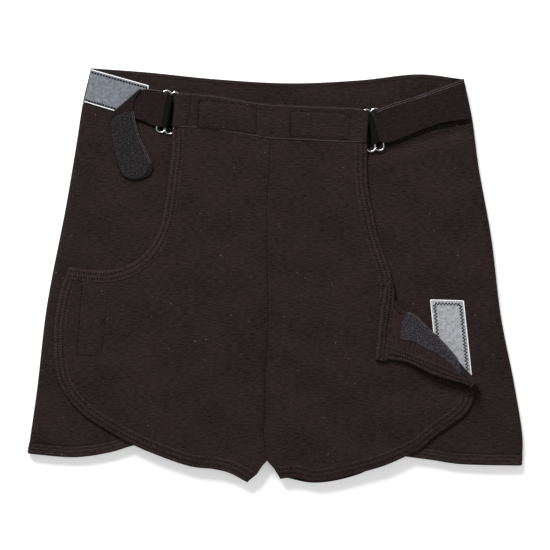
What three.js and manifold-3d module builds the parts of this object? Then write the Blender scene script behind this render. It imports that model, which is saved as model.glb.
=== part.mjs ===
// Side-opening shorts that lie flat on their back. The outer corners of the front panel are flaps
// that fasten to the side panels with hook-and-loop patches, and two waist straps run through
// metal sliders on the front waistband.
// Millimetres, +Z up, +Y towards the waist. Left and right are as seen from above.
import * as THREE from "three";
import { mergeVertices } from "three/addons/utils/BufferGeometryUtils.js";
import Module from "manifold-3d";

const wasm = await Module();
wasm.setup();

// Driving dimensions
const GAP = 0.3; // between pieces that touch
const SEAM_GAP = 1.2; // round the rolled side panels, whose edges are stepped
const CLOTH = 1.6; // jersey with its seam allowances
const LINING = 1.3; // each of the two layers of the back waistband
const BAND = 2.4; // double front waistband
const TAPE = 0.8; // hook or loop tape
const STRAP = 1.5;
const BINDING = 12; // width of the stitched edge of the front panel
const LEG_HEM = 10;
const WAISTBAND = 34; // width of the back waistband
const ROLL_STUB = 10; // how far a rolled side reaches round to the back
const SIDE_Z = 9.5; // middle of the cloth on the front of the sides
const FRONT_Z = 14.2; // middle of the front panel
const ROLL_STEPS = 6;
const FRONT_STEPS = 4;
const CURVE_STEPS = 16;
const CUT_DETAIL = 0.05;

// Sliders: two slots beside a centre bar, in round wire
const WIRE = 2.4;
const SLIDER_PITCH = 8.5; // from the centre bar to each outer bar
const SLIDER_STRAIGHT = 17.5; // half of a bar's straight length
const SLIDER_ARC = 3; // how far the end arcs stand out
const WIRE_BEVEL = 0.7;
const LOOP_INNER = WIRE / 2 + GAP;
const LOOP_OUTER = LOOP_INNER + STRAP;
const LOOP_MIDDLE = (LOOP_INNER + LOOP_OUTER) / 2;
const KEEPER_LEG = 6; // from the inner bar into the front waistband
const STRAP_LEG = 4; // from the outer bar to the crease where the strap peels

// Heights that follow
const FLOOR_Z = CLOTH / 2;
const ROLL = (SIDE_Z - FLOOR_Z) / 2; // radius of the rolled side edge
const LOOP_TAPE_Z = SIDE_Z + CLOTH / 2 + GAP;
const SLIDER_Z = SIDE_Z + LOOP_MIDDLE;
const STRAP_Z = SLIDER_Z + LOOP_MIDDLE;
const TAIL_Z = STRAP_Z + STRAP + GAP;
const CORNER_HINGE_Z = [15.45, 19.2]; // at the fold's inner and outer ends

// Lines of the garment
const CENTRE = -8.25; // the centre seams
const CROTCH = [CENTRE, -185];
const FLAP_FOLD = [[-109, 75], [-191, -140]];
const CORNER_FOLD = [[116.75, -25], [195.75, -110.5]];
const LEFT_SLIDER = { at: [-107.3, 162.8], lean: -10.4, outer: -1 };
const RIGHT_SLIDER = { at: [97.75, 145], lean: 7.3, outer: 1 };

const JERSEY = { color: 0x2c2322, roughness: 0.92, metalness: 0 };
const EDGING = { color: 0x2a2120, roughness: 0.9, metalness: 0 };
const WEBBING = { color: 0x261f20, roughness: 0.9, metalness: 0 };
const HOOK_TAPE = { color: 0x3a3942, roughness: 0.95, metalness: 0 };
const LOOP_TAPE = { color: 0xa6a8ac, roughness: 0.7, metalness: 0 };
const METAL = { color: 0xc8c9cc, roughness: 0.25, metalness: 1 };

const shorts = new THREE.Group();

function add(name, look, geometry, parent = shorts) {
  geometry.computeVertexNormals();
  const mesh = new THREE.Mesh(geometry, new THREE.MeshStandardMaterial(look));
  mesh.name = name;
  parent.add(mesh);
}

const mix = (a, b, share) => a + (b - a) * share;

// A smooth line through a few points, evenly stepped.
function curve(points, steps = CURVE_STEPS) {
  const line = new THREE.CatmullRomCurve3(points.map(([x, y]) => new THREE.Vector3(x, y, 0)));
  return line.getSpacedPoints(steps).map((p) => [p.x, p.y]);
}

// A smooth function through points whose first numbers rise or fall steadily.
function smooth(points) {
  const steps = curve([...points].sort((a, b) => a[0] - b[0]), 80);
  return (x) => {
    const past = steps.findIndex((p) => p[0] >= x);
    const i = Math.max(past < 0 ? steps.length - 1 : past, 1);
    const [a, b] = [steps[i - 1], steps[i]];
    return mix(a[1], b[1], (x - a[0]) / (b[0] - a[0]));
  };
}

// The points of a function's graph between two places.
function graph(f, from, to, steps = 24) {
  return Array.from({ length: steps + 1 }, (_, i) => {
    const x = mix(from, to, i / steps);
    return [x, f(x)];
  });
}

// The line moved sideways, to the left of its direction when distance is positive.
function moved(line, distance) {
  return line.map(([x, y], i) => {
    const before = line[Math.max(i - 1, 0)];
    const after = line[Math.min(i + 1, line.length - 1)];
    const out = new THREE.Vector2(after[0] - x, after[1] - y).normalize();
    const into = new THREE.Vector2(x - before[0], y - before[1]).normalize();
    const along = out.clone().add(into).normalize();
    const reach = distance / Math.max(along.dot(i === 0 ? out : into), 0.5);
    return [x - along.y * reach, y + along.x * reach];
  });
}

// The line with both ends carried straight on.
function lengthened(line, by) {
  const end = (a, b) => {
    const away = new THREE.Vector2(a[0] - b[0], a[1] - b[1]).setLength(by);
    return [a[0] + away.x, a[1] + away.y];
  };
  return [end(line[0], line[1]), ...line, end(line.at(-1), line.at(-2))];
}

function mirrored(points, [[ax, ay], [bx, by]]) {
  const along = new THREE.Vector2(bx - ax, by - ay).normalize();
  return points.map(([x, y]) => {
    const from = new THREE.Vector2(x - ax, y - ay);
    const foot = along.clone().multiplyScalar(2 * from.dot(along)).sub(from);
    return [ax + foot.x, ay + foot.y];
  });
}

function plate(outline, bottom, thickness) {
  const shape = new THREE.Shape(outline.map(([x, y]) => new THREE.Vector2(x, y)));
  const options = { depth: thickness, bevelEnabled: false };
  return new THREE.ExtrudeGeometry(shape, options).translate(0, 0, bottom);
}

function solid(geometry) {
  const bare = new THREE.BufferGeometry();
  bare.setAttribute("position", geometry.getAttribute("position"));
  bare.setIndex(geometry.index);
  const merged = mergeVertices(bare, 1e-4);
  const vertProperties = merged.getAttribute("position").array;
  const triVerts = new Uint32Array(merged.index.array);
  return new wasm.Manifold(new wasm.Mesh({ numProp: 3, vertProperties, triVerts }));
}

// Vertices nearer than CUT_DETAIL to the surface without them are dropped from a cut piece.
function geometryOf(manifold) {
  const { vertProperties, triVerts } = manifold.simplify(CUT_DETAIL).getMesh();
  const geometry = new THREE.BufferGeometry();
  geometry.setAttribute("position", new THREE.BufferAttribute(vertProperties, 3));
  geometry.setIndex(new THREE.BufferAttribute(triVerts, 1));
  return geometry;
}

// Tall tools that cut flat panels: all within an outline, and the strip on the left of an edge.
const tool = (outline) => solid(plate(outline, -50, 150));
function strip(edge, width) {
  const line = lengthened(edge, 16);
  return tool([...moved(line, -8), ...moved(line, width).reverse()]);
}

// A flat panel as its cloth and the stitched band along its edges.
function bound(outline, edges) {
  const whole = (thickness) => solid(plate(outline, FRONT_Z - thickness / 2, thickness));
  let cloth = whole(CLOTH);
  let band;
  for (const edge of edges) {
    const along = strip(edge, BINDING);
    cloth = cloth.subtract(strip(edge, BINDING + GAP)).subtract(along);
    const piece = whole(CLOTH + GAP).intersect(along);
    band = band ? band.add(piece) : piece;
  }
  return { cloth, band };
}

// The largest separate piece, without the crumbs that a cut leaves at its corners.
function largest(manifold) {
  return manifold.decompose().sort((a, b) => b.volume() - a.volume())[0];
}

// A closed sheet with the cloth half each side of the middle surface that point(i, j) gives.
function sheet(point, columns, rows, thickness) {
  const positions = [];
  const index = [];
  const clamp = THREE.MathUtils.clamp;
  const at = (i, j) => point(clamp(i, 0, columns), clamp(j, 0, rows));
  for (const face of [1, -1])
    for (let j = 0; j <= rows; j++)
      for (let i = 0; i <= columns; i++) {
        const across = at(i + 1, j).sub(at(i - 1, j));
        const along = at(i, j + 1).sub(at(i, j - 1));
        const offset = across.cross(along).setLength(thickness / 2).multiplyScalar(face);
        positions.push(...at(i, j).add(offset));
      }
  const width = columns + 1;
  const layer = width * (rows + 1);
  const quad = (a, b, c, d) => index.push(a, b, c, a, c, d);
  for (let j = 0; j < rows; j++)
    for (let i = 0; i < columns; i++) {
      const a = j * width + i;
      quad(a, a + 1, a + width + 1, a + width);
      quad(layer + a, layer + a + width, layer + a + width + 1, layer + a + 1);
    }
  const rim = [];
  for (let i = 0; i < columns; i++) rim.push(i);
  for (let j = 0; j < rows; j++) rim.push(j * width + columns);
  for (let i = columns; i > 0; i--) rim.push(rows * width + i);
  for (let j = rows; j > 0; j--) rim.push(j * width);
  rim.forEach((a, k) => {
    const b = rim[(k + 1) % rim.length];
    quad(a, layer + a, layer + b, b);
  });
  const geometry = new THREE.BufferGeometry();
  geometry.setAttribute("position", new THREE.Float32BufferAttribute(positions, 3));
  geometry.setIndex(index);
  return geometry;
}

// [distance in from the side edge, height] of cloth that rises from the floor round a rolled
// edge and then runs inwards on top.
function rolledSection(width) {
  const stations = [[ROLL + ROLL_STUB, FLOOR_Z]];
  for (let i = 0; i <= ROLL_STEPS; i++) {
    const turn = (Math.PI * i) / ROLL_STEPS;
    stations.push([ROLL * (1 - Math.sin(turn)), FLOOR_Z + ROLL * (1 - Math.cos(turn))]);
  }
  for (let i = 1; i <= FRONT_STEPS; i++)
    stations.push([mix(ROLL, width, i / FRONT_STEPS), SIDE_Z]);
  return stations;
}

// Cloth that wraps the side: fold holds its y at the edge and inner its x at the inner end, each
// from top to bottom, and back and front give y on the two layers.
function rolled({ side, edge, fold, inner, back, front, rows }) {
  const columns = rolledSection(1).length - 1;
  const point = (i, j) => {
    const share = j / rows;
    const edgeX = edge(mix(...fold, share));
    const section = rolledSection(Math.abs(mix(...inner, share) - edgeX));
    const [inward, z] = section[side < 0 ? columns - i : i];
    const x = edgeX - side * inward;
    const lift = (z - FLOOR_Z) / (SIDE_Z - FLOOR_Z);
    return new THREE.Vector3(x, mix(back(x, share), front(x, share), lift), z);
  };
  return sheet(point, columns, rows, CLOTH);
}

// Outline of the shorts: x of the side edges by y, and y of the waist and leg hems by x
const SIDES = [
  {
    side: -1,
    name: "left",
    edge: smooth([
      [207, -184], [173, -192], [135, -198], [70, -209], [-30, -228.2], [-115, -238.2],
      [-178.5, -247.2],
    ]),
    hem: smooth([
      [-247.2, -178.5], [-200, -182], [-165, -177], [-141, -170], [-105, -165], [-70, -165],
    ]),
    seam: smooth([[-192, 173], [-159, 164], [-117, 146.5], [-85, 140]]),
    fold: [207, 173, -178.5],
    strap: { top: smooth([[-186, 207], [-127, 189.6], [-115, 183.5]]), inner: [-116.5, -122.7] },
    underlap: [-88, -75],
    backHem: [[-229.5, -176], [-170, -172], [-141, -167], [-95, -181], [-30, -203]],
  },
  {
    side: 1,
    name: "right",
    edge: smooth([
      [196, 188.5], [152, 196.7], [105, 203], [35, 215.7], [-45, 225.7], [-110, 238.7],
      [-165, 247.2], [-190.5, 246.2],
    ]),
    hem: smooth([
      [246.2, -190.5], [183, -188.7], [158, -185], [130, -181.3], [100, -178], [55, -178],
    ]),
    seam: smooth([[196.7, 153], [165, 147], [123, 133.5], [108, 130], [85, 126.5]]),
    fold: [196, 153, -190.5],
    strap: { top: smooth([[188.5, 196], [165, 188], [120, 171], [106, 166]]), inner: [108, 112.3] },
    underlap: [88, 60],
    backHem: [[229.5, -187], [170, -184], [130, -175], [85, -199], [40, -208], [7, -202]],
  },
];
const waist = smooth([
  [-184, 207], [-129, 203], [-59, 196], [15, 192], [85, 195], [145, 201], [189, 196],
]);

// Back waistband, of two layers
const BACK_BAND_ENDS = [-169, 173.5];
const backBand = [
  ...graph(waist, ...BACK_BAND_ENDS),
  ...graph((x) => waist(x) - WAISTBAND, ...BACK_BAND_ENDS).reverse(),
];
add("back_waistband_outer", JERSEY, plate(backBand, 0, LINING));
add("back_waistband_inner", JERSEY, plate(backBand, LINING + GAP, LINING));

// Back panels, side panels, leg hems and the waist straps that wrap the sides
const PANEL_STEP = 26;
for (const { side, name, edge, hem, seam, fold, strap, underlap, backHem } of SIDES) {
  const bandBottom = (x) => waist(x) - WAISTBAND;
  const inset = (y) => [edge(y) - side * (ROLL + ROLL_STUB + SEAM_GAP), y];
  const outerEdge = [];
  for (let y = fold[1] - PANEL_STEP; y > backHem[0][1] + 10; y -= PANEL_STEP) outerEdge.push(inset(y));
  const centre = CENTRE + (side * GAP) / 2;
  const panel = [
    ...graph((x) => bandBottom(x) - GAP, centre, inset(fold[1])[0]),
    ...outerEdge,
    ...curve(backHem, 12),
    [centre, CROTCH[1] + 2],
  ];
  add(`back_panel_${name}`, JERSEY, plate(panel, 0, CLOTH));

  const [waistFold, seamFold, hemFold] = fold;
  const band = {
    side,
    edge,
    fold: [waistFold, seamFold],
    inner: strap.inner,
    back: (x, share) => waist(x) - WAISTBAND * share,
    front: (x, share) => mix(strap.top(x), seam(x), share),
    rows: 2,
  };
  add(`${name}_waist_strap`, WEBBING, rolled(band));

  const hemTop = (x) => hem(x) + LEG_HEM;
  const cloth = {
    side,
    edge,
    fold: [seamFold - SEAM_GAP, hemFold + LEG_HEM + GAP],
    inner: underlap,
    back: (x, share) => mix(bandBottom(x) - SEAM_GAP, hemTop(x) + GAP, share),
    front: (x, share) => mix(seam(x) - SEAM_GAP, hemTop(x) + GAP, share),
    rows: 10,
  };
  add(`${name}_side_panel`, JERSEY, rolled(cloth));

  const inHem = (x, share) => mix(hemTop(x), hem(x), share);
  const turnUp = {
    side,
    edge,
    fold: [hemFold + LEG_HEM, hemFold],
    inner: [underlap[1], underlap[1]],
    back: inHem,
    front: inHem,
    rows: 2,
  };
  add(`${name}_leg_hem`, EDGING, rolled(turnUp));
}

// The inner leg seam and crotch join back and front round the gap between the legs.
const inseam = [[-25, -200], [-15, -191], [CENTRE, -183.5], [-1.5, -192], [3, -199]];
const inseamTop = FRONT_Z - CLOTH / 2 - 2 * GAP;
const inseamOutline = [...inseam, ...moved(inseam, CLOTH).reverse()];
add("crotch_inseam", JERSEY, plate(inseamOutline, CLOTH + GAP, inseamTop - CLOTH - GAP));

// Front waistband, with the patches that its stitched rectangles hold on the inside
const bandTop = [
  [-88.9, 181], [-60, 179], [-35, 174.5], [-10, 171], [25, 169], [65, 167.5], [80.2, 166],
];
const bandSeam = [
  [-95.1, 147.3], [-75, 146.5], [-50, 143], [-25, 139], [-4, 136], [25, 134.5], [55, 133],
  [84.7, 132],
];
const frontBand = [...curve(bandTop), ...curve(bandSeam).reverse()];
add("front_waistband", JERSEY, plate(frontBand, FRONT_Z - BAND / 2, BAND));
const bandPatches = {
  left: [[-78.2, 174], [-19.2, 166.5], [-19.2, 141], [-78.2, 148]],
  right: [[14.7, 165], [75.7, 160.5], [75.7, 135], [14.7, 138]],
};
for (const [name, outline] of Object.entries(bandPatches))
  add(`${name}_waistband_patch`, WEBBING, plate(outline, FRONT_Z - BAND / 2 - GAP - TAPE, TAPE));

// Front panel, left half, with the flap that peels along FLAP_FOLD
const seamUnderBand = curve(bandSeam).map(([x, y]) => [x, y - GAP]);
const leftEdges = [
  ...curve([
    [-102.7, 145.5], [-103, 125], [-106, 99], [-109, 75], [-116, 45], [-129, 23], [-146, 10.5],
    [-163, 5], [-180, 4.6], [-206, 7.7],
  ], 24),
  ...curve([
    [-206, 7.7], [-215, -18], [-220.9, -60], [-217.3, -103], [-191, -140], [-141, -170],
    [-85, -191], [-50, -197], [-28, -207],
  ], 32).slice(1),
];
const leftHalf = bound(
  [
    ...leftEdges,
    [-19, -199],
    [-13, -190],
    [CENTRE - GAP / 2, CROTCH[1]],
    ...seamUnderBand.filter(([x]) => x < CENTRE - 2).reverse(),
    [-97, 145.5],
  ],
  [leftEdges],
);
function flapZone(gap) {
  const [, top, , bottom] = moved(lengthened(FLAP_FOLD, 60), gap);
  return tool([top, bottom, [-400, bottom[1]], [-400, top[1]]]);
}
const flapSpace = flapZone(-GAP);
const flapCut = flapZone(GAP);
add("front_panel_left", JERSEY, geometryOf(largest(leftHalf.cloth.subtract(flapCut))));
add("left_flap", JERSEY, geometryOf(largest(leftHalf.cloth.intersect(flapSpace))));
add("left_flap_binding", EDGING, geometryOf(largest(leftHalf.band.intersect(flapSpace))));
const leftBands = leftHalf.band.subtract(flapCut).decompose();
const byHeight = (a, b) => b.boundingBox().max[1] - a.boundingBox().max[1];
const [leftOpening, leftHem] = leftBands.sort(byHeight);
add("left_opening_binding", EDGING, geometryOf(leftOpening));
add("left_front_hem", EDGING, geometryOf(leftHem));

// Front panel, right half. Its corner is folded back along CORNER_FOLD.
const [foldInner, foldOuter] = moved(CORNER_FOLD, -GAP);
const rightHemEdge = curve([
  [5, -203.5], [20, -202], [37, -206], [70, -201], [107, -191], [144, -174.6], [177, -149],
  [193, -135], [198.5, -119], foldOuter,
], 28);
const rightOpeningEdge = curve([
  foldInner, [116.5, -5], [112.7, 10], [103.7, 35], [97.7, 62], [92.5, 89], [91.7, 131],
], 18);
const rightHalf = bound(
  [
    [CENTRE + GAP / 2, CROTCH[1]],
    [-1, -193],
    ...rightHemEdge,
    ...rightOpeningEdge,
    ...seamUnderBand.filter(([x]) => x > CENTRE + 2).reverse(),
  ],
  [rightHemEdge, rightOpeningEdge],
);
add("front_panel_right", JERSEY, geometryOf(largest(rightHalf.cloth)));
const [rightOpening, rightHem] = rightHalf.band.decompose().sort(byHeight);
add("right_opening_binding", EDGING, geometryOf(rightOpening));
add("right_front_hem", EDGING, geometryOf(rightHem));

// The folded corner is built flat beyond the fold, as when it is fastened, and then turned over.
const cornerEdge = [
  ...curve([[105.75, -30], [103.5, -56], [100, -86]], 6),
  ...curve([[100, -86], [114.7, -86], [148.7, -95], foldOuter], 12).slice(1),
];
const opened = (points) => mirrored(points, CORNER_FOLD).reverse();
const corner = bound(opened([foldInner, ...cornerEdge]), [opened(cornerEdge)]);
const cornerHook = opened([
  [129.7, -41], [123.7, -63], [138.7, -66], [160, -77.5], [178, -93.5],
]);
const hingeStart = new THREE.Vector3(...CORNER_FOLD[0], CORNER_HINGE_Z[0]);
const hingeEnd = new THREE.Vector3(...CORNER_FOLD[1], CORNER_HINGE_Z[1]);
const turnedOver = new THREE.Group();
turnedOver.matrixAutoUpdate = false;
turnedOver.matrix
  .makeTranslation(hingeStart)
  .multiply(
    new THREE.Matrix4().makeRotationAxis(hingeEnd.clone().sub(hingeStart).normalize(), Math.PI),
  )
  .multiply(new THREE.Matrix4().makeTranslation(hingeStart.clone().negate()));
shorts.add(turnedOver);
const HOOK_UNDER_Z = FRONT_Z - CLOTH / 2 - 2 * GAP - TAPE;
add("right_flap", JERSEY, geometryOf(largest(corner.cloth)), turnedOver);
add("right_flap_binding", EDGING, geometryOf(largest(corner.band)), turnedOver);
add("right_flap_hook_patch", HOOK_TAPE, plate(cornerHook, HOOK_UNDER_Z, TAPE), turnedOver);

// Hook-and-loop patches of the sides and the waist
const leftHook = [[-193.2, -10], [-166.2, -10], [-173.2, -80], [-198.5, -80]];
add("left_flap_hook_patch", HOOK_TAPE, plate(leftHook, HOOK_UNDER_Z, TAPE));
const loopPatches = {
  left_side_loop_patch: [[-197, -8], [-164, -8], [-171, -83], [-203, -83]],
  right_side_loop_patch: [[155.5, -25], [188.3, -26], [196.3, -101], [162.8, -99.5]],
  left_waist_loop_patch: [[-179.5, 203.5], [-127, 188.8], [-134.5, 155.5], [-187, 172.5]],
  right_waist_loop_patch: [[130, 172], [184, 192], [189, 156.5], [130, 139]],
};
for (const [name, outline] of Object.entries(loopPatches))
  add(name, LOOP_TAPE, plate(outline, LOOP_TAPE_Z, TAPE));

// Sliders, the keeper loops that hold them on the front waistband and the strap loops in them
function sliderShape() {
  const half = SLIDER_PITCH / 2;
  const [reachX, reachY] = [half + WIRE / 2, SLIDER_ARC + WIRE / 2];
  const dip = Math.acos(half / reachX);
  const end = (sign) => {
    const arc = [];
    for (const lobe of [sign, -sign])
      for (let i = 0; i <= 8; i++) {
        const turn = lobe === sign ? mix(0, Math.PI - dip, i / 8) : mix(dip, Math.PI, i / 8);
        const x = lobe * half + sign * Math.cos(turn) * reachX;
        arc.push(new THREE.Vector2(x, sign * (SLIDER_STRAIGHT + Math.sin(turn) * reachY)));
      }
    arc.splice(9, 1);
    return arc;
  };
  const shape = new THREE.Shape([...end(1), ...end(-1)]);
  for (const lobe of [-1, 1]) {
    const slot = new THREE.Path();
    const [rx, ry] = [half - WIRE / 2, SLIDER_ARC - WIRE / 2];
    slot.absellipse(lobe * half, SLIDER_STRAIGHT, rx, ry, 0, Math.PI, false);
    slot.absellipse(lobe * half, -SLIDER_STRAIGHT, rx, ry, Math.PI, 2 * Math.PI, false);
    shape.holes.push(slot);
  }
  return shape;
}

// Strap bent round a bar at the origin, open towards +X or -X, from y = low to y = high.
function barLoop(open, leg, low, high) {
  const arc = (radius) =>
    Array.from({ length: 9 }, (_, i) => {
      const turn = (Math.PI * i) / 8;
      return [-open * Math.sin(turn) * radius, Math.cos(turn) * radius];
    });
  const outline = [
    [open * leg, LOOP_OUTER],
    ...arc(LOOP_OUTER),
    [open * leg, -LOOP_OUTER],
    [open * leg, -LOOP_INNER],
    ...arc(LOOP_INNER).reverse(),
    [open * leg, LOOP_INNER],
  ];
  return plate(outline, 0, high - low).rotateX(Math.PI / 2).translate(0, high, 0);
}

const sliderSets = [
  { name: "left", place: LEFT_SLIDER, keeper: [-12.5, 17], strap: [-15.5, 17] },
  { name: "right", place: RIGHT_SLIDER, keeper: [-10.8, 17], strap: [-14.2, 17] },
];
for (const { name, place, keeper, strap } of sliderSets) {
  const holder = new THREE.Group();
  holder.position.set(...place.at, SLIDER_Z);
  holder.rotation.z = THREE.MathUtils.degToRad(place.lean);
  shorts.add(holder);
  const wire = new THREE.ExtrudeGeometry(sliderShape(), {
    depth: WIRE - 2 * WIRE_BEVEL,
    bevelThickness: WIRE_BEVEL,
    bevelSize: WIRE_BEVEL,
    bevelOffset: -WIRE_BEVEL,
    bevelSegments: 2,
    curveSegments: 8,
  }).translate(0, 0, WIRE_BEVEL - WIRE / 2);
  add(`${name}_slider`, METAL, wire, holder);
  const bar = place.outer * SLIDER_PITCH;
  const keeperLoop = barLoop(-place.outer, KEEPER_LEG, ...keeper).translate(-bar, 0, 0);
  add(`${name}_keeper_loop`, WEBBING, keeperLoop, holder);
  const strapLoop = barLoop(place.outer, STRAP_LEG - GAP, ...strap).translate(bar, 0, 0);
  add(`${name}_strap_loop`, WEBBING, strapLoop, holder);
}

// Strap ends that come back out of the sliders. The left one is unfastened, and its end is folded
// down with the hooks up.
const leftReturn = [
  [-116.7, 181.6], [-128.2, 185.5], [-134.2, 185], [-162.2, 161], [-140.2, 157], [-130.2, 154],
  [-122.7, 149.9],
];
add("left_strap", WEBBING, plate(leftReturn, STRAP_Z - STRAP / 2, STRAP));
const leftTail = [
  [-134, 184.6], [-162, 160.6],
  ...curve([[-163.7, 156.5], [-163, 142], [-157, 110], [-150, 98]], 8),
  ...curve([[-149, 97], [-140, 96], [-125, 101], [-122.2, 107]], 6),
  ...curve([[-128, 122], [-137, 143], [-143, 163], [-141, 175]], 8),
];
add("left_strap_tail", WEBBING, plate(leftTail, TAIL_Z - STRAP / 2, STRAP));
const tailHook = [
  [-162, 156], [-144.2, 162], [-139.5, 144], [-131.5, 125], [-126, 108], [-128.5, 102.5],
  [-140, 98], [-148.5, 99.5], [-155.5, 111], [-160, 130],
];
add("left_strap_hook_tape", HOOK_TAPE, plate(tailHook, TAIL_Z + STRAP / 2 + GAP, TAPE));

const rightReturn = [
  [108.1, 165.7], [119.7, 172], [144.7, 179.5], [164.7, 187], [186.7, 195.3], [189.7, 156.3],
  [164.7, 152], [139.7, 143], [122.7, 136], [112.4, 132.5],
];
add("right_strap", WEBBING, plate(rightReturn, STRAP_Z - STRAP / 2, STRAP));
const rightHook = [[142, 175], [184, 190.5], [187, 159], [142, 147]];
const rightHookZ = STRAP_Z - STRAP / 2 - GAP - TAPE;
add("right_strap_hook_tape", HOOK_TAPE, plate(rightHook, rightHookZ, TAPE));

export default shorts;
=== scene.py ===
"""Side-opening jersey shorts laid flat on their back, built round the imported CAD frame.

Lines and heights are in millimetres in the CAD's own frame, and every mesh is scaled to metres as
it is made. Left and right are as seen from above.
"""

import math

import bpy
import numpy as np
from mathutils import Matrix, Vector, noise
from mathutils.geometry import delaunay_2d_cdt


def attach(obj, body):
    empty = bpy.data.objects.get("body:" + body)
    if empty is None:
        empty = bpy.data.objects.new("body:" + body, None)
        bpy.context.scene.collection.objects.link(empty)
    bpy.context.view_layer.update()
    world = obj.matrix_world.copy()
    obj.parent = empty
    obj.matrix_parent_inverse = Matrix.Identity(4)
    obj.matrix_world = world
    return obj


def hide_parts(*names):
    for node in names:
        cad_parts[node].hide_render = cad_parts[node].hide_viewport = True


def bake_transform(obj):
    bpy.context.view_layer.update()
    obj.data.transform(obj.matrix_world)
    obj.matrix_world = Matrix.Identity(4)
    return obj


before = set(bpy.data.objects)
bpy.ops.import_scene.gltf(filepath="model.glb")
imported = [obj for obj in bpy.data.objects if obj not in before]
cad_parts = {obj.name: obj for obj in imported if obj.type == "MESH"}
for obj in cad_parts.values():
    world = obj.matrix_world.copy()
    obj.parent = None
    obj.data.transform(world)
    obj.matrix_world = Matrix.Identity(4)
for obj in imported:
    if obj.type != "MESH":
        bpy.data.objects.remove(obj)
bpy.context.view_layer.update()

MM = 0.001
STEP = 3.0  # spacing of the cloth's points
PANEL_STEP = 2.8  # the same on the front panel
LAP = 1.2  # how far inside its binding's edge a cloth ends

# Heights and thicknesses, as in the CAD
CLOTH, LINING, BAND, TAPE, STRAP = 1.6, 1.3, 2.4, 0.8, 1.5
EDGE = 2.8  # thickness of a binding
ROLL, ROLL_STUB = 4.35, 10.0
BACK_Z, SIDE_Z, FRONT_Z = CLOTH / 2, 9.5, 14.2
SLIDER_Z, STRAP_Z, TAIL_Z = 11.75, 14.0, 15.8
BINDING, LEG_HEM, WAISTBAND = 12.0, 10.0, 34.0
CENTRE = -8.25


# ---------------------------------------------------------------- lines

def spaced(line, step):
    """The line with points about step apart, its ends kept."""
    line = np.array(line, float)
    along = np.concatenate([[0], np.cumsum(np.linalg.norm(np.diff(line, axis=0), axis=1))])
    at = np.linspace(0, along[-1], max(2, round(along[-1] / step) + 1))
    return np.stack([np.interp(at, along, line[:, k]) for k in range(line.shape[1])], axis=1)


def curve(points, step=2.5):
    """A smooth line through a few points."""
    p = np.array(points, float)
    p = np.vstack([2 * p[0] - p[1], p, 2 * p[-1] - p[-2]])
    fine = []
    for a, b, c, d in zip(p, p[1:], p[2:], p[3:]):
        t0 = 0.0
        t1 = t0 + np.linalg.norm(b - a) ** 0.5
        t2 = t1 + np.linalg.norm(c - b) ** 0.5
        t3 = t2 + np.linalg.norm(d - c) ** 0.5
        for t in np.linspace(t1, t2, 20, endpoint=False):
            ab = a + (b - a) * (t - t0) / (t1 - t0)
            bc = b + (c - b) * (t - t1) / (t2 - t1)
            cd = c + (d - c) * (t - t2) / (t3 - t2)
            abc = ab + (bc - ab) * (t - t0) / (t2 - t0)
            bcd = bc + (cd - bc) * (t - t1) / (t3 - t1)
            fine.append(abc + (bcd - abc) * (t - t1) / (t2 - t1))
    fine.append(p[-2])
    return spaced(fine, step)


def smooth(points):
    """A smooth function through points whose first numbers rise or fall steadily."""
    fine = curve(sorted(map(tuple, points)), 1.0)
    return lambda x: np.interp(x, fine[:, 0], fine[:, 1])


def graph(f, start, end, step=STEP):
    x = np.linspace(start, end, max(2, round(abs(end - start) / step) + 1))
    return np.stack([x, f(x)], axis=1)


def moved(line, distance):
    """The line moved sideways, to the left of its direction when distance is positive."""
    line = np.array(line, float)
    along = np.gradient(line, axis=0)
    along /= np.linalg.norm(along, axis=1)[:, None]
    return line + distance * np.stack([-along[:, 1], along[:, 0]], axis=1)


def mirrored(points, a, b):
    a, b, points = np.array(a, float), np.array(b, float), np.array(points, float)
    along = (b - a) / np.linalg.norm(b - a)
    foot = a + ((points - a) @ along)[:, None] * along
    return 2 * foot - points


def densified(outline, step):
    """A closed outline with no side longer than step and every corner kept."""
    out = []
    for a, b in zip(outline, np.roll(outline, -1, axis=0)):
        n = max(1, math.ceil(np.linalg.norm(b - a) / step))
        out += [a + (b - a) * i / n for i in range(n)]
    return np.array(out)


def distance_to(points, line):
    """How far each point is from a line of straight steps."""
    best = np.full(len(points), 1e9)
    for a, b in zip(line[:-1], line[1:]):
        d = b - a
        t = np.clip((points - a) @ d / max(d @ d, 1e-9), 0, 1)
        best = np.minimum(best, np.linalg.norm(points - a - t[:, None] * d, axis=1))
    return best


def inside(points, outline):
    x, y = points.T
    odd = np.zeros(len(points), bool)
    for (ax, ay), (bx, by) in zip(outline, np.roll(outline, -1, axis=0)):
        if ay != by:
            odd ^= ((ay > y) != (by > y)) & (x < (bx - ax) * (y - ay) / (by - ay) + ax)
    return odd


def anticlockwise(outline):
    x, y = outline.T
    turns_left = (x * np.roll(y, -1) - y * np.roll(x, -1)).sum() >= 0
    return outline if turns_left else outline[::-1]


def ramp(x):
    """An even climb from 0 to 1 that starts and ends softly."""
    x = np.clip(x, 0, 1)
    return x * x * (3 - 2 * x)


def wave(points, scale, seed):
    """Smooth noise from -1 to 1 over the plane, the same in each run."""
    return np.array([noise.noise(Vector((p[0] / scale, p[1] / scale, seed))) for p in points])


# ---------------------------------------------------------------- shells

def normals_of(points, faces):
    normals = np.zeros_like(points)
    for f in faces:
        a, b, c = points[f[0]], points[f[1]], points[f[2]]
        n = np.cross(b - a, c - a)
        if len(f) == 4:
            n = np.cross(c - a, points[f[3]] - b)
        for i in f:
            normals[i] += n
    return normals / np.maximum(np.linalg.norm(normals, axis=1), 1e-12)[:, None]


def border(faces):
    """The directed edges that only one face uses."""
    edges = {(f[i], f[(i + 1) % len(f)]) for f in faces for i in range(len(f))}
    return [(a, b) for a, b in edges if (b, a) not in edges]


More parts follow.
